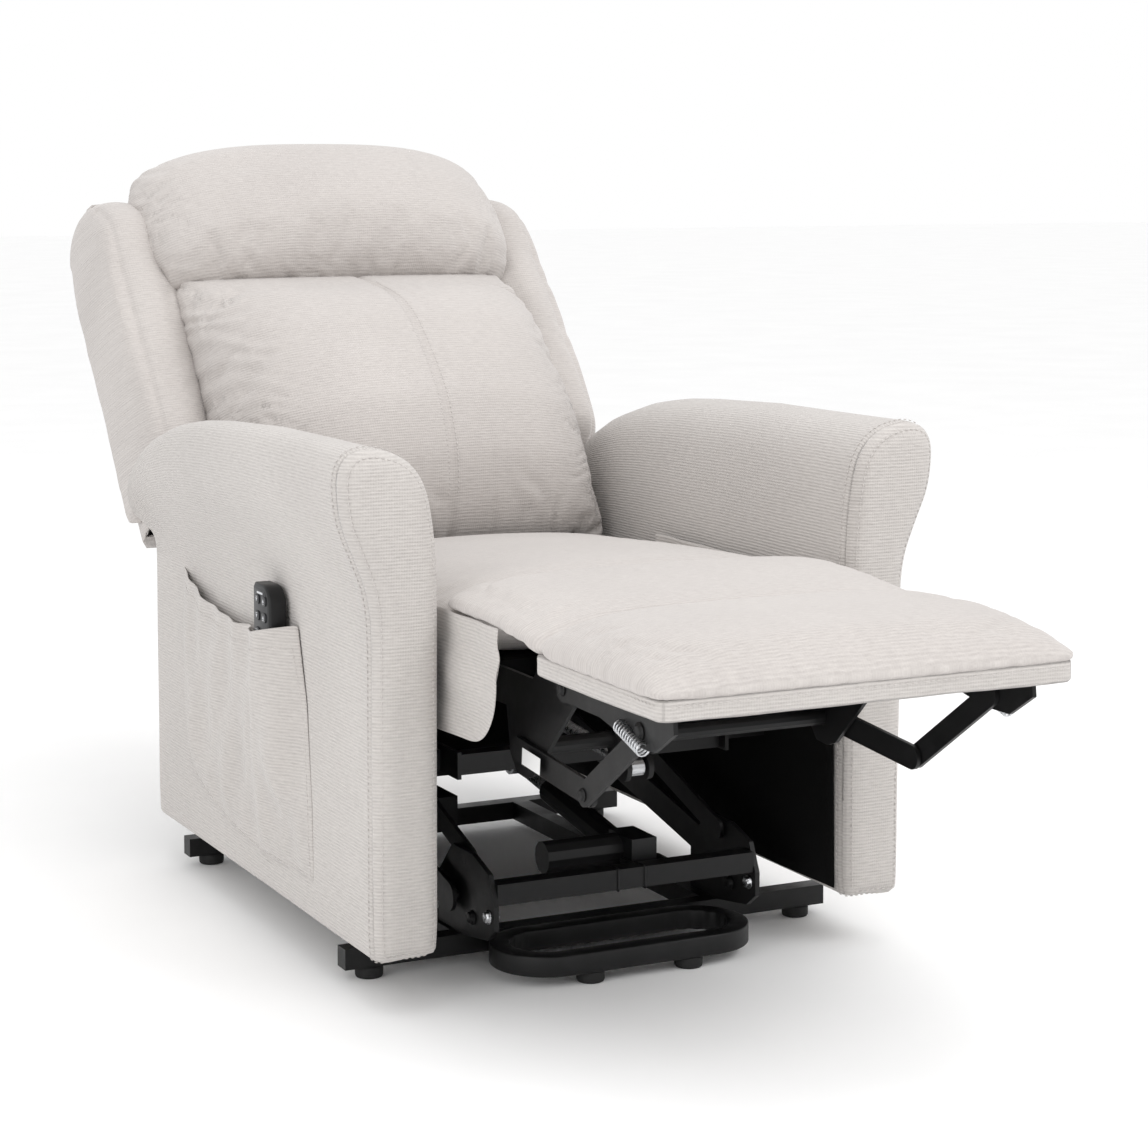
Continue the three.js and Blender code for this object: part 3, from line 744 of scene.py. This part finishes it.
def finish_seat(piece):
    finish_cushion(piece)
    upholster(piece, lambda p, _: p[:, [0, 1]], "seat_cushion", "seat")


def chaise():
    """The pad that runs from the seat's front edge over the hinge to the end of the footrest."""
    def top(x, y):
        crest = np.interp(y, [-890, -878, -850, -760, -660, CREASE_Y - 8, CREASE_Y, CREASE_Y + 10,
                              -580, -500, -420, -360],
                          [468, 480, 488, 493, 490, 483, 480, 482, 488, 494, 496, 490])
        return crest - 9 * (np.abs(x) / 250) ** 2.4

    def edge(y):
        return np.interp(y, [-890, -640, -600, -500, -400, -350], [447, 448, 455, 462, 464, 464])

    def bottom(y):
        return np.interp(y, [-890, -640, -606, -590, -500, -350], [434, 434, 436, 447, 455, 455])

    def half_width(y):
        corner = np.clip((y + 405) / 55, 0, 1)
        full = np.interp(y, [-895, -640, -600], [254, 254, 258])
        return full - 40 * corner ** 2.2 - 3 * np.exp(-((y - CREASE_Y) / 16) ** 2)

    def seam(p):
        ends = ease((-862 - p[:, 1]) / 12) + ease((472 - p[:, 2]) / 8) + ease((p[:, 1] + 372) / 10)
        return ease((np.abs(p[:, 0]) - 226) / 12) + ends

    front, back = crowned(half_width, (-894, -350), top, edge, bottom, rows=70, squareness=9.0)
    piece = pillow("chaise_pad_cover", front, back, "cloth")
    stuff(piece, voxel=6, cap=6, hold=seam)
    return piece


def finish_chaise(piece):
    """The seam across the pad and its pleats."""
    finish_cushion(piece)
    press(piece, np.abs(layout(coordinates(piece))[:, 1] - CREASE_Y), 4.5, 7)
    spots = layout(coordinates(piece))
    gather(piece, 250 - np.abs(spots[:, 0]), spots[:, 1], 1.3, 24, 38)
    gather(piece, spots[:, 1] + 888, spots[:, 0], 0.8, 18, 46)
    weave(piece, lambda p, _: p[:, [0, 1]])
    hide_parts("chaise_pad", "footrest_pad")
    hinge = place([(0, HINGE_Y + 42, 452), (0, HINGE_Y - 34, 452)])
    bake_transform(piece)


def footrest_board():
    """The board's cloth border, with its stitching."""
    x0, y0, _ = node_box("footrest_board")[0]
    x1, y1, _ = node_box("footrest_board")[1]
    rows = []
    for z, inset in ((420, 6), (420.6, 2.4), (422.5, 0.5), (426, 0), (432, 0.2), (438, 0), (441.5, 0.3),
                     (443.4, 1.2)):
        ring = [(x, y, z) for x, y in rounded((x0, x1), (y0, y1), 14, 7, inset)]
        dense = []
        for a, b in zip(ring, ring[1:] + ring[:1]):
            steps = max(1, int(np.linalg.norm(np.subtract(b, a)) / 16))
            dense += [np.array(a) + (np.array(b) - a) * k / steps for k in range(steps)]
        rows.append(dense)
    piece = tube("footrest_border", np.array(rows), "cloth_ribbed")
    ripple(piece, 1.5, 14, (1, 1, 0.4))

    def flat(points, normal):
        sideways = np.abs(normal[:, 0]) > np.abs(normal[:, 1])
        level = np.abs(normal[:, 2]) >= 0.7
        return np.stack([np.where(sideways, points[:, 1], points[:, 0]),
                         np.where(level, points[:, 1], points[:, 2])], 1)

    upholster(piece, flat, "footrest_board", "footrest")
    rim = [(x1 + 0.2, y1 - 20, 437), (x1 + 0.2, y0 + 14, 437), (x1 - 14, y0 - 0.2, 437),
           (x0 + 14, y0 - 0.2, 437), (x0 - 0.2, y0 + 14, 437), (x0 - 0.2, y1 - 20, 437)]
    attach(stitches("footrest_stitching", [rim]), "footrest")


def skirt(word, side):
    """Loose cloth on the seat's side, from the chaise pad down behind the arm."""
    rows, columns = 34, 60
    grid = np.zeros((rows, columns, 3))
    for c, share in enumerate(np.linspace(0, 1, columns)):
        y = -528 + 590 * share ** 1.25
        corner = math.sqrt(max(0, 1 - max(0, (-428 - y) / 100) ** 2.4))
        bottom = 392 - 74 * corner
        for r, down in enumerate(np.linspace(0, 1, rows)):
            z = 459 + (bottom - 459) * down
            fold = 2.6 * math.sin(y / 14 + down * 3.2) * (1 - down)
            fold += 5.5 * math.sin(y / 27 - down * 4.1) * down
            crush = 3.0 * math.sin(down * 11 + y / 40) * math.sin(math.pi * down)
            grid[r, c] = (side * (254 + 0.55 * (fold + crush)), y, z)
    piece = surface(f"seat_skirt_cover_{word}", grid, "cloth_ribbed", 1.8)
    apply(piece, "SUBSURF", levels=1, render_levels=1)
    weave(piece, lambda p, _: p[:, [1, 2]])
    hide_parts(f"seat_skirt_{word}")
    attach(piece, "seat")


def under_covers():
    """Black cloth under the seat, and across the rear of the chair between the arms."""
    low, high = 75, 424
    X, Z = np.meshgrid(np.linspace(-266, 266, 40), np.linspace(low, high, 26))
    slack = np.sin(math.pi * (Z - low) / (high - low))
    grid = np.stack([X, 394 + slack * (3 + 2 * np.sin(X / 37)), Z], 2)
    rear = surface("rear_lining", grid, "lining", 1.2)
    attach(rear, "chair_frame")
    X, Y = np.meshgrid(np.linspace(-192, 192, 20), np.linspace(-392, 148, 30))
    grid = np.stack([X, Y, 395.9 + 0.6 * np.sin(X / 30) * np.sin(Y / 40)], 2)
    deck = surface("seat_deck", grid, "lining", 1.0)
    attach(deck, "seat")


# ---- backrest ----

RECLINE = math.radians(40)


def on_back(x, s, t):
    """The backrest's own axes: x across, s up the back, t towards the sitter."""
    return np.stack([x, s * math.sin(RECLINE) - t * math.cos(RECLINE),
                     s * math.cos(RECLINE) + t * math.sin(RECLINE)], -1)


def back_axes(points):
    """Layout points in the backrest's axes, as on_back takes them."""
    x, y, z = points.T
    sine, cosine = math.sin(RECLINE), math.cos(RECLINE)
    return x, y * sine + z * cosine, z * sine - y * cosine


def weave_on_back(points, _):
    x, s, t = back_axes(points)
    return np.stack([x, s + 0.35 * t], 1)


def bolster(width, s_range, profile, side_t, rear_t, tilt, rows=50, columns=46, squareness=3.2, ends=5.0):
    """Grids of an upright cushion on the backrest. profile gives t along s in the middle, and tilt
    how far the ends lean along s."""
    U, V = np.meshgrid(crowded(columns, 0.98), crowded(rows, 0.98))
    share = (V + 1) / 2
    S = s_range[0] + (s_range[1] - s_range[0]) * share
    X = U * width(S)
    lift = (1 - np.abs(U) ** squareness) ** (1 / 2.0) * (1 - np.abs(V) ** ends) ** (1 / 2.0)
    middle = profile(S)
    T = side_t(S) + (middle - side_t(S)) * lift
    lean = tilt(share) * (middle - T)
    front = on_back(X, S + lean, T)
    back = on_back(X, S + tilt(share) * (middle - side_t(S)), side_t(S) + (rear_t - side_t(S)) * lift)
    return front, back


def back_cushion():
    front, back = bolster(
        lambda s: np.interp(s, [455, 520, 700, 860, 925], [247, 252, 263, 262, 250]),
        (462, 912),
        lambda s: np.interp(s, [462, 500, 551, 631, 700, 772, 850, 895, 912],
                            [182, 215, 238, 254, 249, 236, 208, 184, 168]),
        lambda s: np.interp(s, [462, 560, 700, 912], [120, 80, 62, 56]),
        -34, lambda share: 0.68 * ease((share - 0.55) / 0.45))
    piece = pillow("back_cushion_cover", front, back, "cloth")

    def seams(p):
        x, s, t = back_axes(p)
        border = ease((40 - np.abs(t - 75)) / 40) * (np.abs(x) > 215)
        top = ease((s - 0.68 * (177 - t) - 870) / 20) * 0.8
        return np.maximum(border * 0.85, top)

    stuff(piece, voxel=7, cap=11, slack=0.045, hold=seams)
    return piece


def finish_back(piece):
    """The centre seam with its double stitching, and the pleats along the sides and the bottom."""
    finish_cushion(piece)
    spots = layout(coordinates(piece))
    press(piece, np.abs(spots[:, 0]) + 500 * (back_axes(spots)[2] < 60), 4.0, 6)
    x, s, t = back_axes(layout(coordinates(piece)))
    gather(piece, 258 - np.abs(x), s + 0.5 * t, 3.6, 62, 41)
    gather(piece, s - 478, x, 3.2, 42, 44)
    into_back = on_back(0.0, 0.0, -1.0)
    seam_s = np.arange(500, 905, 2.0)
    lines = [on_surface(piece, on_back(np.full(len(seam_s), beside), seam_s, 300.0), into_back)
             for beside in (-7, 7)]
    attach(stitches("back_stitching", lines), "backrest")
    upholster(piece, weave_on_back, "back_cushion", "backrest")


def headrest():
    front, back = bolster(
        lambda s: np.interp(s, [905, 960, 1060, 1150, 1200, 1235], [262, 274, 284, 284, 270, 232]),
        (905, 1240),
        lambda s: np.interp(s, [905, 940, 1000, 1080, 1150, 1200, 1240], [160, 178, 186, 175, 146, 110, 70]),
        lambda s: np.interp(s, [905, 1000, 1150, 1240], [52, 30, 2, -20]),
        -36, lambda share: 0.6 * ease((0.4 - share) / 0.4) - 0.1 * ease((share - 0.6) / 0.4), ends=4.5)
    piece = pillow("headrest_cover", front, back, "cloth")
    stuff(piece, voxel=7, cap=13, slack=0.04)
    return piece


def finish_headrest(piece):
    finish_cushion(piece)
    x, s, t = back_axes(layout(coordinates(piece)))
    gather(piece, 276 - np.abs(x), s + 0.4 * t, 2.6, 50, 37)
    gather(piece, s - 912 - 0.6 * (177 - t), x, 1.6, 30, 41)
    upholster(piece, weave_on_back, "headrest", "backrest")


WING_SECTION = smooth_closed([
    (256, -30), (254, 15), (262, 52), (282, 72), (306, 74), (326, 62), (337, 40), (343, 0), (346, -50),
    (345, -95), (340, -124), (334, -128), (333.5, -90), (333, -60), (325, -46), (290, -42)], 4)


def wing(word, side):
    """A side bolster of the back, drawn in towards its rear edge at both ends."""
    rings = []
    middle = np.array((322, -104))
    bottom, top = 668, 1196
    for share in np.linspace(0, 1, 46):
        s = bottom + (top - bottom) * share
        low_end = math.sqrt(max(0, 1 - max(0, (0.07 - share) / 0.07) ** 2))
        high_end = math.sqrt(max(0, 1 - max(0, (share - 0.80) / 0.20) ** 2.0))
        size = 0.30 + 0.70 * min(low_end, high_end)
        ring = WING_SECTION.copy()
        ring[:, 1] = np.where(ring[:, 1] > -40, -40 + (ring[:, 1] + 40) * np.interp(
            share, [0, 0.1, 0.5, 0.8, 1], [0.9, 1.05, 1.1, 1.0, 0.62]), ring[:, 1])
        ring = middle + (ring - middle) * np.array([min(1, size + 0.1), size])
        ring[:, 0] += np.interp(share, [0, 0.3, 0.75, 1], [-2, 3, 0, -10]) * (ring[:, 0] > 300)
        rings.append(on_back(ring[:, 0] * side, np.full(len(ring), s), ring[:, 1]))
    piece = tube(f"back_wing_cover_{word}", np.array(rings), "cloth")
    stuff(piece, voxel=7, cap=8)
    return piece


def finish_wing(word, piece):
    finish_cushion(piece)
    x, _, t = back_axes(layout(coordinates(piece)))
    press(piece, np.abs(np.abs(x) - 331) + 400 * (t < 20), 3.0, 5)
    upholster(piece, weave_on_back, f"back_wing_{word}", "backrest")


def rear_cover():
    """The back's rear panel with its rolled edges, open towards the cushions and at the bottom."""
    U, V = np.meshgrid(np.linspace(-1, 1, 70), np.linspace(0, 1, 60))
    side_roll = np.clip((np.abs(U) - 0.88) / 0.12, 0, 1)
    top_roll = np.clip((V - 0.86) / 0.14, 0, 1)
    low_roll = np.clip((0.06 - V) / 0.06, 0, 1)
    round_side = np.minimum(1, side_roll * 5)
    X = np.sign(U) * (np.minimum(np.abs(U) / 0.88, 1) * 319 + 12 * np.sin(round_side * math.pi / 2))
    S = 654 + 538 * np.clip((V - 0.06) / 0.80, 0, 1) + 12 * np.sin(np.minimum(1, top_roll * 5) * math.pi / 2)
    reach = np.maximum.reduce([side_roll * 78, top_roll * 98, low_roll * 34])
    S -= 34 * side_roll * ease((V - 0.8) / 0.15)
    X *= 1 - 0.03 * ease((V - 0.75) / 0.15)
    T = -136 - 5 * (1 - U ** 2) * np.sin(math.pi * V) + reach
    grid = on_back(X, S, T)
    piece = surface("back_rear_panel", grid, "cloth", 2.4)
    ripple(piece, 2.5, 5)
    upholster(piece, weave_on_back, "back_rear_cover", "backrest")


# ---- pocket and hand control ----

HANDSET_LOW, HANDSET_HIGH = node_box("handset")


def pocket():
    """A loose cloth pocket on the right arm: its lip sags and the hand control pushes it out."""
    rows, columns = 54, 70
    grid = np.zeros((rows, columns, 3))
    control = (HANDSET_LOW[1] + HANDSET_HIGH[1]) / 2
    for r, down in enumerate(np.linspace(0, 1, rows)):
        for c, share in enumerate(np.linspace(0, 1, columns)):
            front = np.interp(down, [0, 0.3, 0.7, 1], [-167, -194, -209, -212])
            rear = np.interp(down, [0, 0.3, 0.8, 1], [266, 270, 268, 262])
            y = front + (rear - front) * share
            lip = np.interp(share, [0, 0.15, 0.45, 0.7, 1], [414, 399, 389, 398, 426])
            hem = np.interp(share, [0, 0.4, 0.7, 0.9, 1], [113, 105, 122, 150, 200])
            z = lip + (hem - lip) * down
            inside = min(share, 1 - share) * (rear - front)
            slack = min(1, inside / 22) ** 0.5 * min(1, (1 - down) * 6) ** 0.7
            pushed = 27 * math.exp(-abs((y - control) / 60) ** 2.8) * float(1 - ease((down - 0.5) / 0.35))
            fold = 3.6 * math.sin(y / 21 + down * 5.5) * (0.4 + down) + 2.2 * math.sin(y / 11 - down * 7)
            sag = 7 + 5 * math.sin(math.pi * share) * (1 - down)
            loose = min(1, inside / 48) ** 0.8 * min(1, (1 - down) * 6) ** 0.7
            grid[r, c] = (-350.2 - slack * pushed - loose * (sag + fold), y, z)
    piece = surface("handset_pocket_cloth", grid, "cloth_ribbed", 2.0)
    apply(piece, "SUBSURF", levels=1, render_levels=1)
    weave(piece, lambda p, _: p[:, [1, 2]])
    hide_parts("handset_pocket")
    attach(piece, "chair_frame")
    proud = grid + (-1.2, 0, 0)
    seams = [proud[4, 2:-2], proud[4:, 1], proud[-2, 2:-2]]
    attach(stitches("pocket_stitching", seams), "chair_frame")


def slab(outline, x_range, name, material, bevel):
    """A [y, z] outline, thick along X, with rounded edges."""
    count = len(outline)
    points = [(x, y, z) for x in x_range for y, z in outline]
    faces = [tuple(range(count)), tuple(range(2 * count - 1, count - 1, -1))]
    faces += [(i, (i + 1) % count, count + (i + 1) % count, count + i) for i in range(count)]
    piece = make(name, points, faces, material)
    apply(piece, "BEVEL", width=bevel / 1000, segments=4, limit_method="ANGLE", angle_limit=math.radians(50))
    return piece


def hand_control():
    """The casing with its face plate, its window and its keys."""
    (x0, y0, z0), (x1, y1, z1) = HANDSET_LOW, HANDSET_HIGH
    outline = [(y1, z0 + 12), (y1 - 2, z0 + 5), (y1 - 12, z0), (y0 + 12, z0), (y0 + 2, z0 + 5), (y0, z0 + 12)]
    radius = 24
    for angle in np.radians(np.linspace(180, 96, 8)):
        outline.append((y0 + radius + radius * math.cos(angle), z1 - radius + radius * math.sin(angle)))
    outline += [(y1 - 5, z1), (y1, z1 - 5)]
    shell = slab(outline, (x0 + 0.6, x1), "handset_shell", "plastic", 3.2)
    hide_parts("handset")
    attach(shell, "handset")
    plate = [(y1 - 5, z0 + 20), (y0 + 5, z0 + 20), (y0 + 5, z1 - 22), (y0 + 16, z1 - 7), (y1 - 5, z1 - 7)]
    face = slab(plate, (x0 + 0.35, x0 + 2), "handset_face", "key", 0.2)
    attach(face, "handset")
    window = slab([(y1 - 16, z1 - 12), (y0 + 22, z1 - 12), (y0 + 22, z1 - 9.5), (y1 - 16, z1 - 9.5)],
                  (x0 - 0.5, x0 + 1), "handset_window", "icon", 0.2)
    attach(window, "handset")
    for row in (1, 2, 3):
        for column in "ab":
            key(f"button_{row}{column}", row, column)


def key(name, row, column):
    """A rounded push key with a raised arrow and bar. The right column's point down."""
    (x0, y0, z0), (x1, y1, z1) = node_box(name)
    my, mz = (y0 + y1) / 2, (z0 + z1) / 2
    outline = []
    for angle in np.linspace(0, 2 * math.pi, 24, endpoint=False):
        c, s = math.cos(angle), math.sin(angle)
        outline.append((my + (y1 - y0) / 2 * math.copysign(abs(c) ** 0.6, c),
                        mz + (z1 - z0) / 2 * math.copysign(abs(s) ** 0.6, s)))
    cap = slab(outline, (x0, x1), f"key_{name[-2:]}", "key", 0.8)
    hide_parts(name)
    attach(cap, name)
    up = 1 if column == "a" else -1
    bar = 1.2 + 0.8 * row
    arrow = slab([(my - 2.6, mz - 1.6 * up), (my + 2.6, mz - 1.6 * up), (my, mz + 2.6 * up)],
                 (x0 - 0.35, x0 + 0.2), f"key_arrow_{name[-2:]}", "icon", 0.1)
    line = slab([(my - bar, mz - 3.6 * up), (my + bar, mz - 3.6 * up), (my + bar, mz - 2.8 * up),
                 (my - bar, mz - 2.8 * up)], (x0 - 0.35, x0 + 0.2), f"key_mark_{name[-2:]}", "icon", 0.1)
    for mark in (arrow, line):
        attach(mark, name)


# ---- steelwork ----

def sweep(name, path, radius, material):
    """A six-sided wire along layout points."""
    path = np.array(path, float)
    rings = []
    last = len(path) - 1
    lift = np.array((0.3, 0.1, 0.95))
    for i in range(last + 1):
        ahead, behind = path[min(i + 1, last)], path[max(i - 1, 0)]
        along = (ahead - behind) / (np.linalg.norm(ahead - behind) + 1e-9)
        side = np.cross(along, lift)
        side /= np.linalg.norm(side)
        lift = np.cross(side, along)
        rings.append([path[i] + radius * (side * math.cos(a) + lift * math.sin(a))
                      for a in np.linspace(0, 2 * math.pi, 6, endpoint=False)])
    return tube(name, np.array(rings), material)


def spring(word, side):
    """A tension spring between the footrest bracket and a tab below the board."""
    start = np.array((side * 222.0, -752, 392))
    end = np.array((side * 222.0, -806, 376))
    along = end - start
    length = np.linalg.norm(along)
    along /= length
    across = np.array((1, 0, 0))
    up = np.cross(along, across)
    turns, radius = 11, 6.5
    path = []
    for share in np.linspace(0, 1, turns * 12 + 1):
        angle = 2 * math.pi * turns * share
        turn = across * math.cos(angle) + up * math.sin(angle)
        path.append(start + along * length * share + radius * turn)
    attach(sweep(f"footrest_spring_{word}", path, 1.2, "zinc"), "footrest")


def bolt(name, point, side, body, radius=7, height=5, metal="steel"):
    """A hexagon head with a washer, its axis along X."""
    x, y, z = point
    washer = ((0, 1.25, False), (1.2, 1.25, False))
    head = ((1.25, 1.0, True), (height, 1.0, True), (height + 0.8, 0.8, True))
    rings = []
    for out, share, hexagon in washer + head:
        ring = []
        for k in range(24):
            angle = 2 * math.pi * k / 24
            reach = radius * share
            if hexagon:
                reach *= math.cos(math.pi / 6) / math.cos((angle % (math.pi / 3)) - math.pi / 6)
            ring.append((x + side * out, y + reach * math.cos(angle), z + reach * math.sin(angle)))
        rings.append(ring)
    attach(tube(name, np.array(rings), metal), body)


def foot(name):
    """A turned rubber foot with a rounded rim."""
    low, high = node_box(name)
    mx, my = (low[0] + high[0]) / 2, (low[1] + high[1]) / 2
    radius = (high[0] - low[0]) / 2
    rings = []
    for z, share in ((0, 0.84), (0.6, 0.93), (2.5, 0.985), (6, 1), (11, 1), (13, 0.985), (13.7, 0.93)):
        rings.append([(mx + radius * share * math.cos(a), my + radius * share * math.sin(a), low[2] + z)
                      for a in np.linspace(0, 2 * math.pi, 40, endpoint=False)])
    piece = tube(f"rubber_{name}", np.array(rings), "rubber")
    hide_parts(name)
    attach(piece, "base")


def front_loop():
    """The flat-sided loop tube, with soft corners and pressed ribs on its bends."""
    low, high = node_box("front_loop_tube")
    radius = (high[1] - low[1]) / 2
    my = (high[1] + low[1]) / 2
    straight = high[0] - radius
    outline, bend = [], []
    for end, first in ((1, -90), (-1, 90)):
        for share in np.linspace(-end, end, 19):
            outline.append((straight * share, -end * radius))
            bend.append(0)
        for angle in np.radians(np.linspace(first, first + 180, 57)[1:-1]):
            outline.append((end * straight + radius * math.cos(angle), radius * math.sin(angle)))
            bend.append(1)
    outline = np.array(outline)
    into = inward(outline)
    width, corner = 25, 2.4
    section = rounded((0, width), (0, width), corner, 4)
    rings = []
    for index, (point, direction, bent) in enumerate(zip(outline, into, bend)):
        ring = []
        for deep, up in section:
            crease = 1.6 * bent * (0.5 - 0.5 * math.cos(index * 2 * math.pi / 7)) * (deep > width / 2)
            dent = 2.2 * bent * math.exp(-((up - width / 2) / 4) ** 2) * (deep < width / 2)
            spot = point + direction * (deep - crease + dent)
            ring.append((spot[0], my + spot[1], low[2] + up))
        rings.append(ring)
    rings = np.array(rings)
    count, around = rings.shape[:2]
    closed = np.concatenate([rings, rings[:1]]).reshape(-1, 3)
    piece = make("front_loop_pressing", closed, grid_faces(count + 1, around, around=True), "steel")
    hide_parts("front_loop_tube")
    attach(piece, "base")


def label():
    """A blank pale sticker on the right drive link."""
    x = node_box("drive_link_right")[0][0]
    start = np.array((-498.0, 299))
    length = 46 * np.array((-0.997, -0.076))
    width = 19 * np.array((-0.076, 0.997))
    outline = [tuple(start + reach) for reach in (0 * length, length, length + width, width)]
    piece = slab(outline, (x - 0.4, x - 0.15), "blank_label", "label", 0.05)
    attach(piece, "footrest_drive")


def bands():
    """Two cable ties round the upper cross tube."""
    low, high = node_box("base_upper_tube")
    proud = 0.8
    y0, y1 = low[1] - proud, low[1] + 25 + proud
    z0, z1 = low[2] - proud, high[2] + proud
    for index, x in enumerate((-14, 22)):
        path = [(x, y0, z0), (x, y0, z1), (x, y1, z1), (x, y1, z0)]
        tie = []
        for a, b in zip(path, path[1:] + path[:1]):
            tie += [np.array(a) + (np.array(b) - a) * k / 8 for k in range(8)]
        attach(sweep(f"cable_tie_{index + 1}", tie + tie[:1], 1.3, "plastic"), "base")


def steelwork():
    """Springs, bolts, sticker, feet, front loop and cable ties."""
    for word, side in SIDES:
        spring(word, side)
        plate = node_box(f"base_plate_{word}")
        outside = side * (abs(plate[:, 0]).max() + 0.2)
        inside = side * (abs(plate[:, 0]).min() - 0.2)
        for index, (y, z) in enumerate(((-290, 68), (-336, 80), (-214, 70))):
            metal = "zinc" if index == 1 else "steel"
            bolt(f"plate_bolt_{word}_{index + 1}", (inside, y, z), -side, "base", metal=metal)
            bolt(f"plate_nut_{word}_{index + 1}", (outside, y, z), side, "base", metal=metal)
        bolt(f"hinge_bolt_{word}", (side * 217.8, HINGE_Y, HINGE_Z), side, "footrest", 6, 3)
        bolt(f"link_bolt_{word}", (side * 217.8, -790, 392), side, "footrest", 8, 3)
        bolt(f"knee_bolt_{word}", (side * 211.8, -649.5, 296.3), side, "outer_links", 6, 3)
    label()
    for name in frame["nodes"]:
        if name.startswith("foot_"):
            foot(name)
    front_loop()
    bands()


CARRIED = {"steel": "steel", "zinc": "zinc", "motor_plastic": "plastic", "handset_plastic": "plastic",
           "foot_rubber": "rubber", "button_plastic": "key", "upholstery": "cloth"}


def dress_cad_nodes():
    """Gives every CAD node that still shows its material."""
    slots = {row["node"]: row["material_slot"] for row in frame["record"]["subparts"]}
    for name, node in frame["nodes"].items():
        material = MATERIALS[CARRIED[slots[name]]]
        for index in range(len(node.material_slots)):
            node.material_slots[index].material = material


# ---- build ----

studio()
dress_cad_nodes()
for word, side in SIDES:
    arm(word, side)
    arm_lining(word, side)
    skirt(word, side)
footrest_board()
under_covers()
rear_cover()
pocket()
hand_control()
steelwork()

seat_piece = seat_cushion()
chaise_piece = chaise()
back_piece = back_cushion()
head_piece = headrest()
wing_pieces = [(word, wing(word, side)) for word, side in SIDES]
simulate()
finish_seat(seat_piece)
finish_chaise(chaise_piece)
finish_back(back_piece)
finish_headrest(head_piece)
for word, piece in wing_pieces:
    finish_wing(word, piece)
